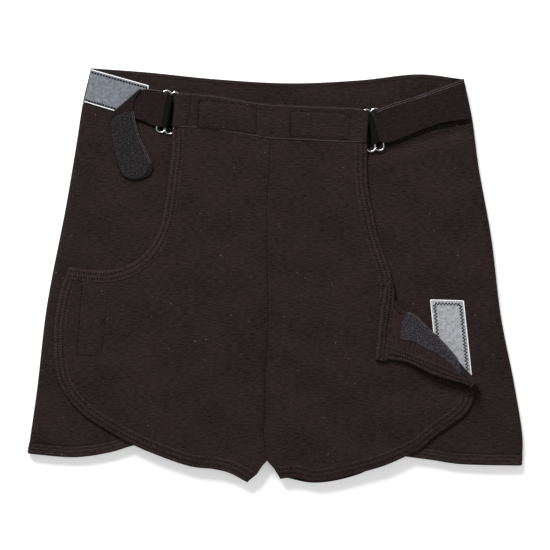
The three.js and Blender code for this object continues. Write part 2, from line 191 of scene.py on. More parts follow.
class Shell:
    """Cloth as a closed skin round a middle surface, with a rounded rim. Its faces can be shared
    out to several pieces, which then meet without a visible seam."""

    def __init__(self, points, faces, pattern, thickness, bulge=0.35):
        points = np.array(points, float)
        self.faces, self.pattern, self.points = faces, np.array(pattern, float), points
        n = normals_of(points, faces)
        half = np.broadcast_to(np.array(thickness, float) / 2, len(points))
        rim = points.copy()
        count = np.zeros(len(points))
        away = np.zeros_like(points)
        self.rim_edges = set(border(faces))
        for a, b in sorted(self.rim_edges):
            out = np.cross(points[b] - points[a], n[a] + n[b])
            out /= max(np.linalg.norm(out), 1e-9)
            for i in (a, b):
                away[i] += out
                count[i] += 1
        on = count > 0
        away[on] /= np.maximum(np.linalg.norm(away[on], axis=1), 1e-9)[:, None]
        rim += away * (2 * half * bulge)[:, None]
        self.skin = np.vstack([points + n * half[:, None], points - n * half[:, None], rim])
        self.skin_normals = np.vstack([n, -n, away])

    def piece(self, name, material, slot, chosen=None):
        """One object, of the chosen faces or of all."""
        faces = self.faces if chosen is None else [f for f, c in zip(self.faces, chosen) if c]
        count = len(self.points)
        skin = [tuple(f) for f in faces] + [tuple(i + count for i in reversed(f)) for f in faces]
        for a, b in sorted(border(faces)):
            if (a, b) in self.rim_edges:
                ra, rb = a + 2 * count, b + 2 * count
                skin += [(b, a, ra, rb), (rb, ra, a + count, b + count)]
            else:
                skin.append((b, a, a + count, b + count))
        used = sorted({i for f in skin for i in f})
        place = {i: k for k, i in enumerate(used)}
        skin = [tuple(place[i] for i in f) for f in skin]
        made = mesh_piece(name, self.skin[used], skin, material, slot,
                          self.pattern[[i % count for i in used]])
        if chosen is not None:
            made.data.normals_split_custom_set_from_vertices(self.skin_normals[used].tolist())
        return made


def linked(name, data):
    made = bpy.data.objects.new(name, data)
    bpy.context.scene.collection.objects.link(made)
    return made


def mesh_piece(name, points, faces, material, slot, pattern=None):
    mesh = bpy.data.meshes.new(name)
    mesh.from_pydata((np.array(points) * MM).tolist(), [], faces)
    if pattern is not None:
        layer = mesh.uv_layers.new(name="pattern")
        corner = np.zeros(len(mesh.loops), np.int32)
        mesh.loops.foreach_get("vertex_index", corner)
        layer.data.foreach_set("uv", np.array(pattern, np.float32)[corner].ravel())
    mesh.shade_smooth()
    made = linked(name, mesh)
    made.data.materials.append(material)
    return made


def filled(outline, step=STEP, creases=()):
    """Points and triangles that fill an outline evenly, with rows of points along the creases."""
    outline = anticlockwise(densified(np.array(outline, float), step))
    low, high = outline.min(0), outline.max(0)
    rows = []
    for j, yy in enumerate(np.arange(low[1], high[1], step * 0.866)):
        xx = np.arange(low[0] + (j % 2) * step / 2, high[0], step)
        rows.append(np.stack([xx, np.full(len(xx), yy)], axis=1))
    grid = np.vstack(rows)
    grid = grid[inside(grid, outline)]
    closed = np.vstack([outline, outline[:1]])
    grid = grid[distance_to(grid, closed) > 0.55 * step]
    rows = []
    for line in creases:
        line = spaced(line, 0.75 * step)
        line = line[inside(line, outline)]
        rows.append(line[distance_to(line, closed) > 0.4 * step])
        grid = grid[distance_to(grid, spaced(line, 8)) > 0.5 * step]
    points = np.vstack([outline, grid, *rows])
    found = delaunay_2d_cdt([Vector(p) for p in points], [], [list(range(len(outline)))], 1, 1e-5)
    points, faces = np.array([tuple(v) for v in found[0]]), [list(f) for f in found[2]]
    for f in faces:
        a, b, c = points[f[0]], points[f[1]], points[f[2]]
        if (b[0] - a[0]) * (c[1] - a[1]) - (b[1] - a[1]) * (c[0] - a[0]) < 0:
            f.reverse()
    return points, faces


def raised(points, height):
    return np.column_stack([points[:, :2], height(points[:, :2])])


def flat_cloth(name, outline, height, thickness, material, slot, step=STEP, bulge=0.35,
               creases=()):
    points, faces = filled(outline, step, creases)
    shell = Shell(raised(points, height), faces, points, thickness, bulge)
    return shell.piece(name, material, slot)


def settled(piece, body, *nodes):
    """The piece, riding a body and standing for some of the CAD's nodes."""
    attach(piece, body)
    if nodes:
        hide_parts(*nodes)
    return piece


def grid_faces(rows, columns):
    """Faces of a grid of rows by columns points, numbered row by row."""
    return [[r * columns + c, r * columns + c + 1, (r + 1) * columns + c + 1, (r + 1) * columns + c]
            for r in range(rows - 1) for c in range(columns - 1)]


def turned(points, faces, way=(0, 0, 1), judged=None):
    """The faces, reversed if they, or the judged ones, mostly look away from a direction."""
    looks = normals_of(points, faces if judged is None else judged).sum(0)
    return faces if looks @ np.array(way) > 0 else [f[::-1] for f in faces]


# Cross-section of a binding: [place across it, share of its thickness], with two stitched grooves
SECTION = [[0.0, 0.5], [0.04, 0.82], [0.13, 1.0], [0.25, 1.02], [0.315, 0.76], [0.375, 0.76],
           [0.43, 0.98], [0.55, 1.03], [0.655, 0.98], [0.715, 0.74], [0.765, 0.74], [0.83, 0.94],
           [0.94, 0.92], [1.0, 0.76]]
STITCH_ROWS = (0.345, 0.74)


def matched(a, b, step):
    """Two lines with the same number of even steps, about step long on the longer one."""
    length = lambda line: np.linalg.norm(np.diff(line, axis=0), axis=1).sum()
    count = max(2, round(max(length(a), length(b)) / step))
    return spaced(a, length(a) / count), spaced(b, length(b) / count)


def binding(outer, inner, height, thickness=EDGE):
    """A stitched binding between its outer and its inner edge."""
    outer, inner = matched(np.array(outer, float), np.array(inner, float), 1.5)
    across = np.array([s[0] for s in SECTION])
    points = (outer[:, None] + (inner - outer)[:, None] * across[:, None]).reshape(-1, 2)
    columns = len(across)
    share = np.tile([s[1] for s in SECTION], len(outer)) + 0.08 * wave(points, 3.1, 7.0)
    middle = raised(points, height)
    faces = turned(middle, grid_faces(len(outer), columns))
    pattern = np.column_stack([np.tile(across * BINDING, len(outer)),
                               np.repeat(np.arange(len(outer)) * 1.5, columns)])
    return Shell(middle, faces, pattern, thickness * share, 0.3)


def welded(*groups):
    """Several (points, faces, pattern) as one, with shared points merged, and each face's group."""
    points = np.vstack([g[0] for g in groups])
    pattern = np.vstack([g[2] for g in groups])
    keys, place = {}, []
    for i, p in enumerate(points):
        place.append(keys.setdefault(tuple(np.round(p, 2)), i))
    faces, part, start = [], [], 0
    for k, g in enumerate(groups):
        faces += [[place[i + start] for i in f] for f in g[1]]
        part += [k] * len(g[1])
        start += len(g[0])
    return points, faces, pattern, np.array(part)


# ---------------------------------------------------------------- threads

def tube_mesh(lines, radius, sides=6):
    """Round threads or wires along lines of 3-D points, with closed ends, as (points, faces)."""
    points, faces = [], []
    for line in lines:
        line = np.array(line, float)
        way = np.gradient(line, axis=0)
        way /= np.maximum(np.linalg.norm(way, axis=1), 1e-9)[:, None]
        base, up = len(points), np.array([0, 0, 1.0])
        for p, w, r in zip(line, way, np.broadcast_to(radius, len(line))):
            side = np.cross(w, up)
            side /= max(np.linalg.norm(side), 1e-9)
            over = np.cross(side, w)
            for k in range(sides):
                turn = 2 * math.pi * k / sides
                points.append(p + r * (side * math.cos(turn) + over * math.sin(turn)))
        for r in range(len(line) - 1):
            for k in range(sides):
                n = (k + 1) % sides
                a, b = base + r * sides, base + (r + 1) * sides
                faces.append((a + k, a + n, b + n, b + k))
        faces.append(tuple(base + k for k in reversed(range(sides))))
        faces.append(tuple(base + (len(line) - 1) * sides + k for k in range(sides)))
    return points, faces


def stitch_mesh(lines, pitch=2.7, length=1.9, radius=0.36, taper=0.35):
    """Spindles along lines of 3-D points, as (points, faces)."""
    spindles = []
    for line in lines:
        line = spaced(line, pitch)
        for a, b in zip(line[:-1], line[1:]):
            half = (b - a) / np.linalg.norm(b - a) * length / 2
            spindles.append([(a + b) / 2 - half, (a + b) / 2, (a + b) / 2 + half])
    return tube_mesh(spindles, radius * np.array([taper, 1, taper]), 5)


def tube_piece(name, lines, radius, material, slot, sides=6):
    return mesh_piece(name, *tube_mesh(lines, radius, sides), material, slot)


def stitches(name, lines, material, slot, body, **sizes):
    made = mesh_piece(name, *stitch_mesh(lines, **sizes), material, slot)
    if body:
        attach(made, body)
    return made


def zigzag(line, pitch, width):
    """A line that swings width from side to side every half pitch."""
    line = spaced(line, pitch / 2)
    swing = np.where(np.arange(len(line)) % 2, 0.5, -0.5) * width
    along = np.gradient(line[:, :2], axis=0)
    along /= np.maximum(np.linalg.norm(along, axis=1), 1e-9)[:, None]
    return line + np.column_stack([-along[:, 1] * swing, along[:, 0] * swing, 0 * swing])


def lifted(line, height, above):
    """A flat line laid on a surface, a little above it."""
    line = np.array(line, float)
    return np.column_stack([line[:, :2], height(line[:, :2]) + above])


def closed_line(outline, inset=0):
    """A closed outline moved inwards, its corners kept."""
    outline = anticlockwise(np.array(outline, float))
    before, after = np.roll(outline, 1, axis=0), np.roll(outline, -1, axis=0)
    out = []
    for a, b, c in zip(before, outline, after):
        u, v = (b - a) / np.linalg.norm(b - a), (c - b) / np.linalg.norm(c - b)
        n = np.array([-u[1] - v[1], u[0] + v[0]])
        n /= np.linalg.norm(n)
        out.append(b + n * inset / max(n @ np.array([-u[1], u[0]]), 0.4))
    return np.array(out + out[:1])


# ---------------------------------------------------------------- materials

def srgb(r, g, b):
    return tuple((c / 255 / 12.92 if c < 10.3 else ((c / 255 + 0.055) / 1.055) ** 2.4)
                 for c in (r, g, b)) + (1.0,)


class Look:
    """A material's nodes, with short calls to add and link them."""

    def __init__(self, name, roughness, metallic=0.0, sheen=0.0, specular=0.1):
        self.material = bpy.data.materials.new(name)
        self.material.use_nodes = True
        self.tree = self.material.node_tree
        self.shader = self.tree.nodes["Principled BSDF"]
        self.shader.inputs["Roughness"].default_value = roughness
        self.shader.inputs["Metallic"].default_value = metallic
        self.shader.inputs["Specular IOR Level"].default_value = 0.5 if metallic else specular
        self.shader.inputs["Sheen Weight"].default_value = sheen
        self.shader.inputs["Sheen Roughness"].default_value = 0.55
        self.shader.inputs["Sheen Tint"].default_value = srgb(190, 165, 160)

    def node(self, kind, inputs=None, **values):
        made = self.tree.nodes.new(kind)
        for key, value in values.items():
            setattr(made, key, value)
        for key, value in (inputs or {}).items():
            if isinstance(value, bpy.types.NodeSocket):
                self.tree.links.new(value, made.inputs[key])
            else:
                made.inputs[key].default_value = value
        return made

    def pattern(self, sx, sy, turn=0.0):
        """The cloth's own flat coordinates, in steps of 1/sx and 1/sy millimetres."""
        uv = self.node("ShaderNodeUVMap", uv_map="pattern")
        return self.node("ShaderNodeMapping", {"Vector": uv.outputs[0], "Scale": (sx, sy, 1),
                                               "Rotation": (0, 0, turn)}).outputs[0]

    def noise(self, place, detail=2.0, distortion=0.0):
        return self.node("ShaderNodeTexNoise", {"Vector": place, "Scale": 1.0, "Detail": detail,
                                                "Distortion": distortion}).outputs[0]

    def math(self, operation, a, b, clamp=False):
        return self.node("ShaderNodeMath", {0: a, 1: b}, operation=operation,
                         use_clamp=clamp).outputs[0]

    def span(self, value, low, high, to_low=0.0, to_high=1.0):
        return self.node("ShaderNodeMapRange", {"Value": value, "From Min": low, "From Max": high,
                                                "To Min": to_low, "To Max": to_high}).outputs[0]

    def mix(self, share, a, b):
        return self.node("ShaderNodeMix", {0: share, 6: a, 7: b}, data_type="RGBA").outputs[2]

    def bump(self, height, distance, strength=1.0):
        made = self.node("ShaderNodeBump", {"Height": height, "Distance": distance,
                                            "Strength": strength})
        self.tree.links.new(made.outputs[0], self.shader.inputs["Normal"])

    def colour(self, value):
        if isinstance(value, bpy.types.NodeSocket):
            self.tree.links.new(value, self.shader.inputs["Base Color"])
        else:
            self.shader.inputs["Base Color"].default_value = value
        return self.material


def knit(name, dark, light, lint=0.55, along=1.0, sheen=0.02, rows=False):
    """Jersey: fine streaked courses, soft blotches and a few pale specks of lint. A binding also
    gets painted shade in the grooves of its two rows of stitches, darkest at each stitch."""
    look = Look(name, 0.93, sheen=sheen)
    streaks = look.noise(look.pattern(0.16, 0.9 * along), 3.0)
    grain = look.noise(look.pattern(0.75, 0.75), 2.0)
    blotch = look.noise(look.pattern(0.02, 0.03), 2.0)
    share = look.math("ADD", look.span(streaks, 0.33, 0.67, 0.0, 0.55),
                      look.span(grain, 0.33, 0.67, 0.0, 0.4))
    share = look.math("ADD", share, look.span(blotch, 0.35, 0.65, -0.08, 0.08), True)
    colour = look.mix(share, srgb(*dark), srgb(*light))
    if rows:
        place = look.node("ShaderNodeSeparateXYZ", {"Vector": look.pattern(1, 1)})
        beat = look.math("SINE", look.math("MULTIPLY", place.outputs[1], 2 * math.pi / 2.7), 0.0)
        for row in STITCH_ROWS:
            off = look.math("ABSOLUTE", look.math("SUBTRACT", place.outputs[0], row * BINDING), 0.0)
            # painted shade: the binding's stitched groove darkened towards near black, most at each
            # stitch
            dent = look.math("MULTIPLY", look.span(off, 0.6, 1.3, 1.0, 0.0),
                             look.span(beat, -0.5, 0.5, 0.5, 1.0))
            colour = look.mix(dent, colour, srgb(8, 5, 5))
    specks = look.node("ShaderNodeTexVoronoi", {"Vector": look.pattern(0.1, 0.13, 0.4),
                                                "Scale": 1.0, "Randomness": 1.0})
    near = look.span(specks.outputs["Distance"], 0.035, 0.075, 1.0, 0.0)
    chosen = look.node("ShaderNodeSeparateColor", {"Color": specks.outputs["Color"]}).outputs[0]
    fluff = look.math("MULTIPLY", near, look.span(chosen, 0.66, 0.8, 0.0, lint))
    colour = look.mix(fluff, colour, srgb(128, 116, 112))
    courses = look.node("ShaderNodeTexWave", {"Vector": look.pattern(1, 1), "Scale": 0.36,
                                              "Distortion": 2.0, "Detail": 1.0,
                                              "Detail Scale": 1.5},
                        bands_direction="Y")
    height = look.math("ADD", look.math("MULTIPLY", streaks, 0.6),
                       look.math("MULTIPLY", grain, 0.7))
    height = look.math("ADD", height, look.math("MULTIPLY", courses.outputs[1], 0.18))
    look.bump(height, 0.00022, 0.6)
    return look.colour(colour)


def fuzzy(name, dark, light):
    """Hook tape: a dense nap with pale broken loops."""
    look = Look(name, 0.95, sheen=0.2)
    nap = look.noise(look.pattern(0.95, 0.95), 4.0, 1.0)
    loops = look.node("ShaderNodeTexVoronoi", {"Vector": look.pattern(0.8, 0.8), "Scale": 1.0})
    share = look.math("MULTIPLY", look.span(nap, 0.42, 0.66),
                      look.span(loops.outputs["Distance"], 0.1, 0.7, 0.3, 1.0))
    height = look.math("ADD", nap, look.math("MULTIPLY", loops.outputs["Distance"], 0.5))
    look.bump(height, 0.0009, 1.0)
    return look.colour(look.mix(share, srgb(*dark), srgb(*light)))


def brushed(name, dark, light):
    """Loop tape: pale brushed loops with a faint weave across."""
    look = Look(name, 0.8, sheen=0.2)
    weave = look.noise(look.pattern(0.25, 1.3), 3.0)
    mottle = look.noise(look.pattern(0.3, 0.3), 3.0, 0.6)
    share = look.math("ADD", look.span(weave, 0.3, 0.7, 0.0, 0.5),
                      look.span(mottle, 0.35, 0.65, 0.0, 0.5))
    look.bump(look.math("ADD", weave, mottle), 0.0004, 0.7)
    return look.colour(look.mix(share, srgb(*dark), srgb(*light)))


def thread(name, dark, light):
    look = Look(name, 0.75)
    place = look.node("ShaderNodeTexCoord").outputs["Object"]
    twist = look.node("ShaderNodeTexNoise", {"Vector": place, "Scale": 900.0}).outputs[0]
    look.bump(twist, 0.0001, 0.5)
    return look.colour(look.mix(look.span(twist, 0.35, 0.65), srgb(*dark), srgb(*light)))


def chrome(name):
    look = Look(name, 0.16, metallic=1.0)
    place = look.node("ShaderNodeTexCoord").outputs["Object"]
    haze = look.node("ShaderNodeTexNoise", {"Vector": place, "Scale": 260.0, "Detail": 3.0})
    wear = look.span(haze.outputs[0], 0.4, 0.65)
    look.bump(haze.outputs[0], 0.00004, 0.4)
    return look.colour(look.mix(wear, srgb(226, 226, 228), srgb(188, 188, 192)))


JERSEY = knit("jersey_knit", (17, 9, 9), (49, 37, 37))
# rows=True paints shade into the binding's two stitched grooves
EDGING = knit("edging_knit", (22, 13, 13), (57, 44, 43), lint=0.35, along=0.6, rows=True)
WEBBING = knit("strap_knit", (15, 9, 10), (38, 28, 30), lint=0.3)
# painted shade: a near-black knit for the strap turns and keepers, which lie in shade round the
# slider bars
SHADED = knit("strap_loop_painted_shade", (7, 5, 5), (17, 13, 13), lint=0.0)
REVERSE = knit("jersey_reverse", (20, 12, 12), (50, 38, 36), lint=0.4, along=0.5)
HOOK = fuzzy("hook_nap", (20, 19, 23), (76, 74, 82))
HOOK_DARK = fuzzy("hook_nap_tail", (9, 8, 10), (60, 57, 62))
LOOP = brushed("loop_nap", (118, 119, 124), (176, 177, 181))
LOOP_DARK = brushed("loop_nap_waist", (80, 84, 91), (128, 133, 141))
SELVEDGE = brushed("loop_selvedge", (222, 222, 224), (250, 250, 251))
THREAD = thread("thread_dark", (7, 5, 5), (18, 14, 13))
LOOPER = thread("thread_looper", (44, 34, 33), (80, 67, 65))
# painted highlight: light lines standing in for the lit upper edges of the layered straps
EDGE_HIGHLIGHT = thread("strap_edge_painted_highlight", (50, 41, 43), (88, 76, 80))
CHROME = chrome("chrome_wire")


# ---------------------------------------------------------------- the garment's lines

SIDES = {
    "left": {
        "side": -1,
        "edge": smooth([(y, x) for x, y in [
            (-184, 207), (-192, 173), (-198, 135), (-209, 70), (-228.2, -30), (-238.2, -115),
            (-247.2, -178.5)]]),
        "hem": smooth([(-247.2, -178.5), (-200, -182), (-165, -177), (-141, -170), (-105, -165),
                       (-70, -165)]),
        "seam": smooth([(-192, 173), (-159, 164), (-117, 146.5), (-85, 140)]),
        "fold": (207, 173, -178.5),
        "strap_top": smooth([(-186, 207), (-127, 189.6), (-115, 183.5)]),
        "strap_inner": (-116.5, -122.7),
        "underlap": (-88, -75),
        "back_hem": [(-229.5, -176), (-170, -172), (-141, -167), (-95, -181), (-30, -203)],
    },
    "right": {
        "side": 1,
        "edge": smooth([(y, x) for x, y in [
            (188.5, 196), (196.7, 152), (203, 105), (215.7, 35), (225.7, -45), (238.7, -110),
            (247.2, -165), (246.2, -190.5)]]),
        "hem": smooth([(246.2, -190.5), (183, -188.7), (158, -185), (130, -181.3), (100, -178),
                       (55, -178)]),
        "seam": smooth([(196.7, 153), (165, 147), (123, 133.5), (108, 130), (85, 126.5)]),
        "fold": (196, 153, -190.5),
        "strap_top": smooth([(188.5, 196), (165, 188), (120, 171), (106, 166)]),
        "strap_inner": (108, 112.3),
        "underlap": (88, 60),
        "back_hem": [(229.5, -187), (170, -184), (130, -175), (85, -199), (40, -208), (7, -202)],
    },
}
waist = smooth([(-184, 207), (-129, 203), (-59, 196), (15, 192), (85, 195), (145, 201),
                (189, 196)])
waist_low = lambda x: waist(x) - WAISTBAND

FOLD_A, FOLD_B = np.array([116.75, -25.0]), np.array([195.75, -110.5])
FOLD_LENGTH = np.linalg.norm(FOLD_B - FOLD_A)
FOLD_WAY = (FOLD_B - FOLD_A) / FOLD_LENGTH
FOLD_OUT = np.array([-FOLD_WAY[1], FOLD_WAY[0]])  # away from the front panel

LEFT_OPENING = curve([(-102.7, 145.5), (-103, 125), (-106, 99), (-109, 75), (-116, 45),
                      (-129, 23), (-146, 10.5), (-163, 5), (-180, 4.6), (-206, 7.7)])
LEFT_HEM = curve([(-206, 7.7), (-215, -18), (-220.9, -60), (-217.3, -103), (-206.5, -124),
                  (-191, -140), (-170, -154), (-141, -170), (-125, -177), (-85, -191),
                  (-60, -194), (-45, -198), (-28, -207)])
RIGHT_HEM = curve([(5, -203.5), (20, -202), (37, -206), (50, -205), (70, -201), (107, -191),
                   (130, -181.3), (144, -174.6), (158, -162.5), (177, -149), (190, -139),
                   (197.3, -126), (198.5, -118), (195.75, -110.5)])
RIGHT_OPENING = curve([(116.75, -25), (116.5, -5), (112.7, 10), (103.7, 35), (97.7, 62),
                       (92.5, 89), (91.7, 131)])
CORNER_SIDE = curve([(106.35, -30), (104.55, -42.5), (103.25, -56), (102.35, -69),
                     (101.05, -76), (100.25, -84.5)])
CORNER_HEM = curve([(100.25, -84.5), (110.75, -84.2), (130.45, -86.5), (141.15, -91),
                    (157.25, -99), (170.65, -103.4), (184.05, -107), (192.95, -109.7),
                    (195.75, -110.5)])
CORNER_HEM_INNER = curve([(101, -73), (115.25, -71), (125.75, -74.6), (139.35, -80),
                          (157.25, -87), (170.65, -92.5), (184.05, -98.8), (191, -105.2),
                          (195.75, -110)])
TWIST_OUTER = curve([(116.15, -4), (112.75, -8), (109.45, -13), (108.15, -20), (106.35, -30)])
TWIST_INNER = curve([(116.35, -4.5), (117.55, -10), (118.65, -17.5), (118.35, -28)])
CORNER_SIDE_INNER = curve([(118.35, -28), (116.65, -42.5), (114.75, -51.4), (113.35, -63),
                           (112.65, -69.3), (111.75, -77), (111.25, -85.5)])
# How far the folded corner's own edge stands out from the straight fold, along the fold
RIDGE = smooth([(0, -0.5), (8, -3.5), (13, -4.5), (20, 0.5), (27, 4.0), (36, 4.3), (50, 4.8),
                (62, 5.0), (72, 4.6), (82, 3.2), (92, 1.2), (100, 0), (116.5, 0)])

BAND_TOP = curve([(-100.0, 178.0), (-97.6, 180.6), (-93, 181.6), (-88.9, 181.5), (-60, 179),
                  (-35, 174.5), (-10, 171), (25, 169), (65, 167.5), (80, 166.6), (86, 165.6),
                  (90, 163.6), (92.8, 161.0)])
BAND_SEAM = curve([(-101.9, 147.6), (-96, 147.5), (-75, 146.5), (-50, 143), (-25, 139),
                   (-4, 136), (25, 134.5), (55, 133), (91, 132)])
CROTCH = [(-19, -199), (-13, -190), (CENTRE, -185.2), (-1, -193), (4, -201)]


# ---------------------------------------------------------------- heights of the layers

FRONT_EDGES = [spaced(line, 6) for line in (LEFT_OPENING, LEFT_HEM, RIGHT_HEM, RIGHT_OPENING,
                                            np.array([FOLD_A, FOLD_B]))]
DROP, DROP_REACH = 1.7, 16.0
FLAP_BOX = [(-193.2, -10), (-166.2, -10), (-173.2, -80), (-198.5, -80)]
BAND_BOXES = {
    "left": [(-76.1, 174.6), (-18.9, 167.7), (-18.9, 141.1), (-77.1, 148)],
    "right": [(15.4, 163.8), (75.4, 160.8), (74.4, 135.2), (15.4, 138.1)],
}
BAND_TAB = np.array([(-83.7, 180), (-85.5, 165), (-88, 147.5)])
CENTRE_SEAM = curve([(-4.25, 140), (-6.3, 105), (-8.25, 75), (-7.9, 0), (-7.5, -60),
                     (-9.5, -90), (-10.6, -101), (-10.2, -135), (-11.8, -158), (CENTRE, -187)])


def dent(p, line, depth, width):
    return -depth * np.exp(-(distance_to(p, spaced(line, 8)) / width) ** 2)


def under_corner(p):
    """The hollow under the free edge of the folded corner."""
    return np.exp(-((p[:, 0] - 150) / 36) ** 2 - ((p[:, 1] + 112) / 18) ** 2)


def front_height(p):
    """The middle of the front panel: soft waves, and edges that sink to what lies below."""
    upright = p * [1.0, 0.35]
    z = FRONT_Z + 1.3 * wave(upright, 46, 1.0) + 0.55 * wave(p, 24, 2.0)
    near = np.min([distance_to(p, line) for line in FRONT_EDGES], axis=0)
    z -= DROP * np.clip(1 - near / DROP_REACH, 0, 1) ** 2
    low = ramp((-40 - p[:, 1]) / 60)
    z += dent(p, CENTRE_SEAM, 1.0, 1.0) * (0.7 + 0.8 * low)
    side = p[:, 0] - np.interp(p[:, 1], CENTRE_SEAM[::-1, 1], CENTRE_SEAM[::-1, 0])
    z -= 1.3 * low * np.exp(-((side - 3) / 6.0) ** 2) - 0.9 * low * np.exp(-((side + 7) / 7) ** 2)
    z += dent(p, closed_line(FLAP_BOX), 0.8, 0.9) + 0.5 * inside(p, np.array(FLAP_BOX))
    return z - 2.3 * under_corner(p)


def band_height(p):
    z = FRONT_Z + 0.35 * wave(p, 60, 3.0) + dent(p, BAND_TAB, 0.8, 0.9)
    for corners in BAND_BOXES.values():
        z += dent(p, closed_line(corners), 0.8, 0.9) + 0.5 * inside(p, np.array(corners))
    return z


def side_height(p):
    """The middle of the cloth on the front of a side panel."""
    z = SIDE_Z + 0.7 * wave(p, 55, 4.0) + 0.4 * wave(p, 22, 5.0)
    below = SIDES["right"]["seam"](p[:, 0]) - p[:, 1]
    tuck = 1.9 * np.exp(-((below - 7) / 5.0) ** 2) - 1.1 * np.exp(-((below - 20) / 7.0) ** 2)
    return z - tuck * (p[:, 0] > 0) - 2.2 * under_corner(p)


def flat_side(p):
    return SIDE_Z + 0.25 * wave(p, 60, 4.0)


def back_height(p):
    return CLOTH / 2 + 0.16 + 0.15 * wave(p, 50, 6.0)


def corner_height(p):
    """The middle of the folded corner, which lifts towards its outer end."""
    t = np.clip((p - FOLD_A) @ FOLD_WAY / FOLD_LENGTH, 0, 1)
    s = np.clip(-(p - FOLD_A) @ FOLD_OUT, 0, 80)
    return 16.7 + 9.0 * t ** 1.25 - 0.03 * s * (1 - t) + 0.3 * wave(p, 22, 8.0)


def tail_height(p):
    a, b = np.array([-134.2, 185.0]), np.array([-162.2, 161.0])
    way = (b - a) / np.linalg.norm(b - a)
    down = np.array([-way[1], way[0]])
    s = np.clip((p - a) @ down, 0, 90)
    return TAIL_Z - 3.4 * ramp(s / 60) + 0.3 * wave(p, 20, 9.0) * ramp(s / 15)


# ---------------------------------------------------------------- back

for name, s in SIDES.items():
    side, edge = s["side"], s["edge"]
    inset = lambda y: edge(y) - side * (ROLL + ROLL_STUB + LAP)
    centre = CENTRE + side * 0.15
    top = graph(lambda x: waist(x) - WAISTBAND - 0.3, centre, inset(s["fold"][1]))
    ys = np.arange(s["fold"][1] - 6, s["back_hem"][0][1] + 3, -6)
    outer = np.column_stack([inset(ys), ys])
    outline = np.vstack([top, outer, curve(s["back_hem"]), [[centre, -183]]])
    panel = flat_cloth(f"back_cloth_{name}", outline, back_height, CLOTH, JERSEY, "jersey")
    settled(panel, "shorts", f"back_panel_{name}")
    hem = curve(s["back_hem"])
    rows = []
    for u in (4.0, 7.5):
        row = moved(hem, -u * side)
        rows += [lifted(row, back_height, CLOTH / 2), lifted(row, back_height, -CLOTH / 2)]
    down = np.column_stack([np.full(60, centre + side * 2.0), np.linspace(160, -180, 60)])
    rows += [lifted(down, back_height, CLOTH / 2), lifted(down, back_height, -CLOTH / 2)]
    stitches(f"back_stitches_{name}", rows, THREAD, "edging", "shorts")

for name, z, ends in (("outer", LINING / 2 + 0.1, (-169, 173.5)),
                      ("inner", LINING * 1.5 + 0.4, (-173, 178))):
    height = lambda p, z=z: z + 0.05 * wave(p, 40, 10.0)
    outline = np.vstack([graph(waist, *ends), graph(waist_low, *ends)[::-1]])
    band = flat_cloth(f"back_waistband_cloth_{name}", outline, height, LINING, JERSEY, "jersey")
    settled(band, "shorts", f"back_waistband_{name}")
inner_top = LINING * 2 + 0.45
at_top = lambda p: np.full(len(p), inner_top)
rows = [lifted(graph(lambda x: waist(x) - 3.2, -166, 170), at_top, 0.0)]
for x, y0, y1 in ((-128, 200, 172), (-126.4, 200, 172), (151, 198, 168), (152.6, 198, 168)):
    rows.append(lifted([(x, y0), (x + 0.6, y1)], at_top, 0.0))
stitches("back_waistband_stitches", rows, THREAD, "edging", "shorts")
seams = [lifted(spaced([(x, y0), (x + 0.6, y1)], 4), at_top, 0.1)
         for x, y0, y1 in ((-127.2, 202.5, 171), (151.8, 200.5, 167))]
settled(tube_piece("back_waistband_seams", seams, 0.7, EDGING, "edging", 8), "shorts")


# ---------------------------------------------------------------- rolled sides

def rolled(s, fold, inner, back, front, rows, height, thickness=CLOTH, share=None):
    """Cloth from the floor round a rolled side edge to the front, as a Shell."""
    side, edge = s["side"], s["edge"]
    width = max(abs(x - edge(y)) for x, y in zip(inner, fold))
    front_steps = max(3, round(width / STEP))
    arc = [(ROLL * (1 - math.sin(t)), BACK_Z + ROLL * (1 - math.cos(t)))
           for t in np.linspace(0, math.pi, 13)]
    points, pattern = [], []
    for j in range(rows + 1):
        v = j / rows
        edge_x = edge(fold[0] + (fold[1] - fold[0]) * v)
        reach = abs(inner[0] + (inner[1] - inner[0]) * v - edge_x)
        stations = [(ROLL + ROLL_STUB * (1 - k / 4), BACK_Z) for k in range(4)] + arc
        stations += [(x, None) for x in np.linspace(ROLL, reach, front_steps + 1)[1:]]
        along = 0.0
        last = stations[0]
        for inward, z in stations:  # those without a height lie on the front
            x = edge_x - side * inward
            if z is None:
                lift, rise, settle = 1.0, SIDE_Z, ramp((inward - ROLL + 8) / 16)
            else:
                lift = (z - BACK_Z) / (SIDE_Z - BACK_Z)
                rise, settle = z, 0.25 * ramp(lift)
            y = back(x, v) + (front(x, v) - back(x, v)) * lift
            rise += (float(height(np.array([[x, y]]))[0]) - SIDE_Z) * settle
            along += math.hypot(inward - last[0], 0 if z is None else z - (last[1] or SIDE_Z))
            last = (inward, z)
            points.append((x, y, max(rise, BACK_Z)))
            pattern.append((side * -along, y))
    columns = len(stations)
    points = np.array(points)
    faces = grid_faces(rows + 1, columns)
    faces = turned(points, faces, judged=[f for f in faces if points[f[0], 2] > 9])
    if share is not None:
        thickness = thickness * np.repeat([share(j / rows) for j in range(rows + 1)], columns)
    return Shell(points, faces, pattern, thickness)


def between(upper, lower):
    """A line a share v of the way from one line to another."""
    return lambda x, v: upper(x) + (lower(x) - upper(x)) * v


def in_section(v):
    """The binding's thickness a share v of the way down a hem."""
    return np.interp(v, [1 - s[0] for s in SECTION][::-1], [s[1] for s in SECTION][::-1])


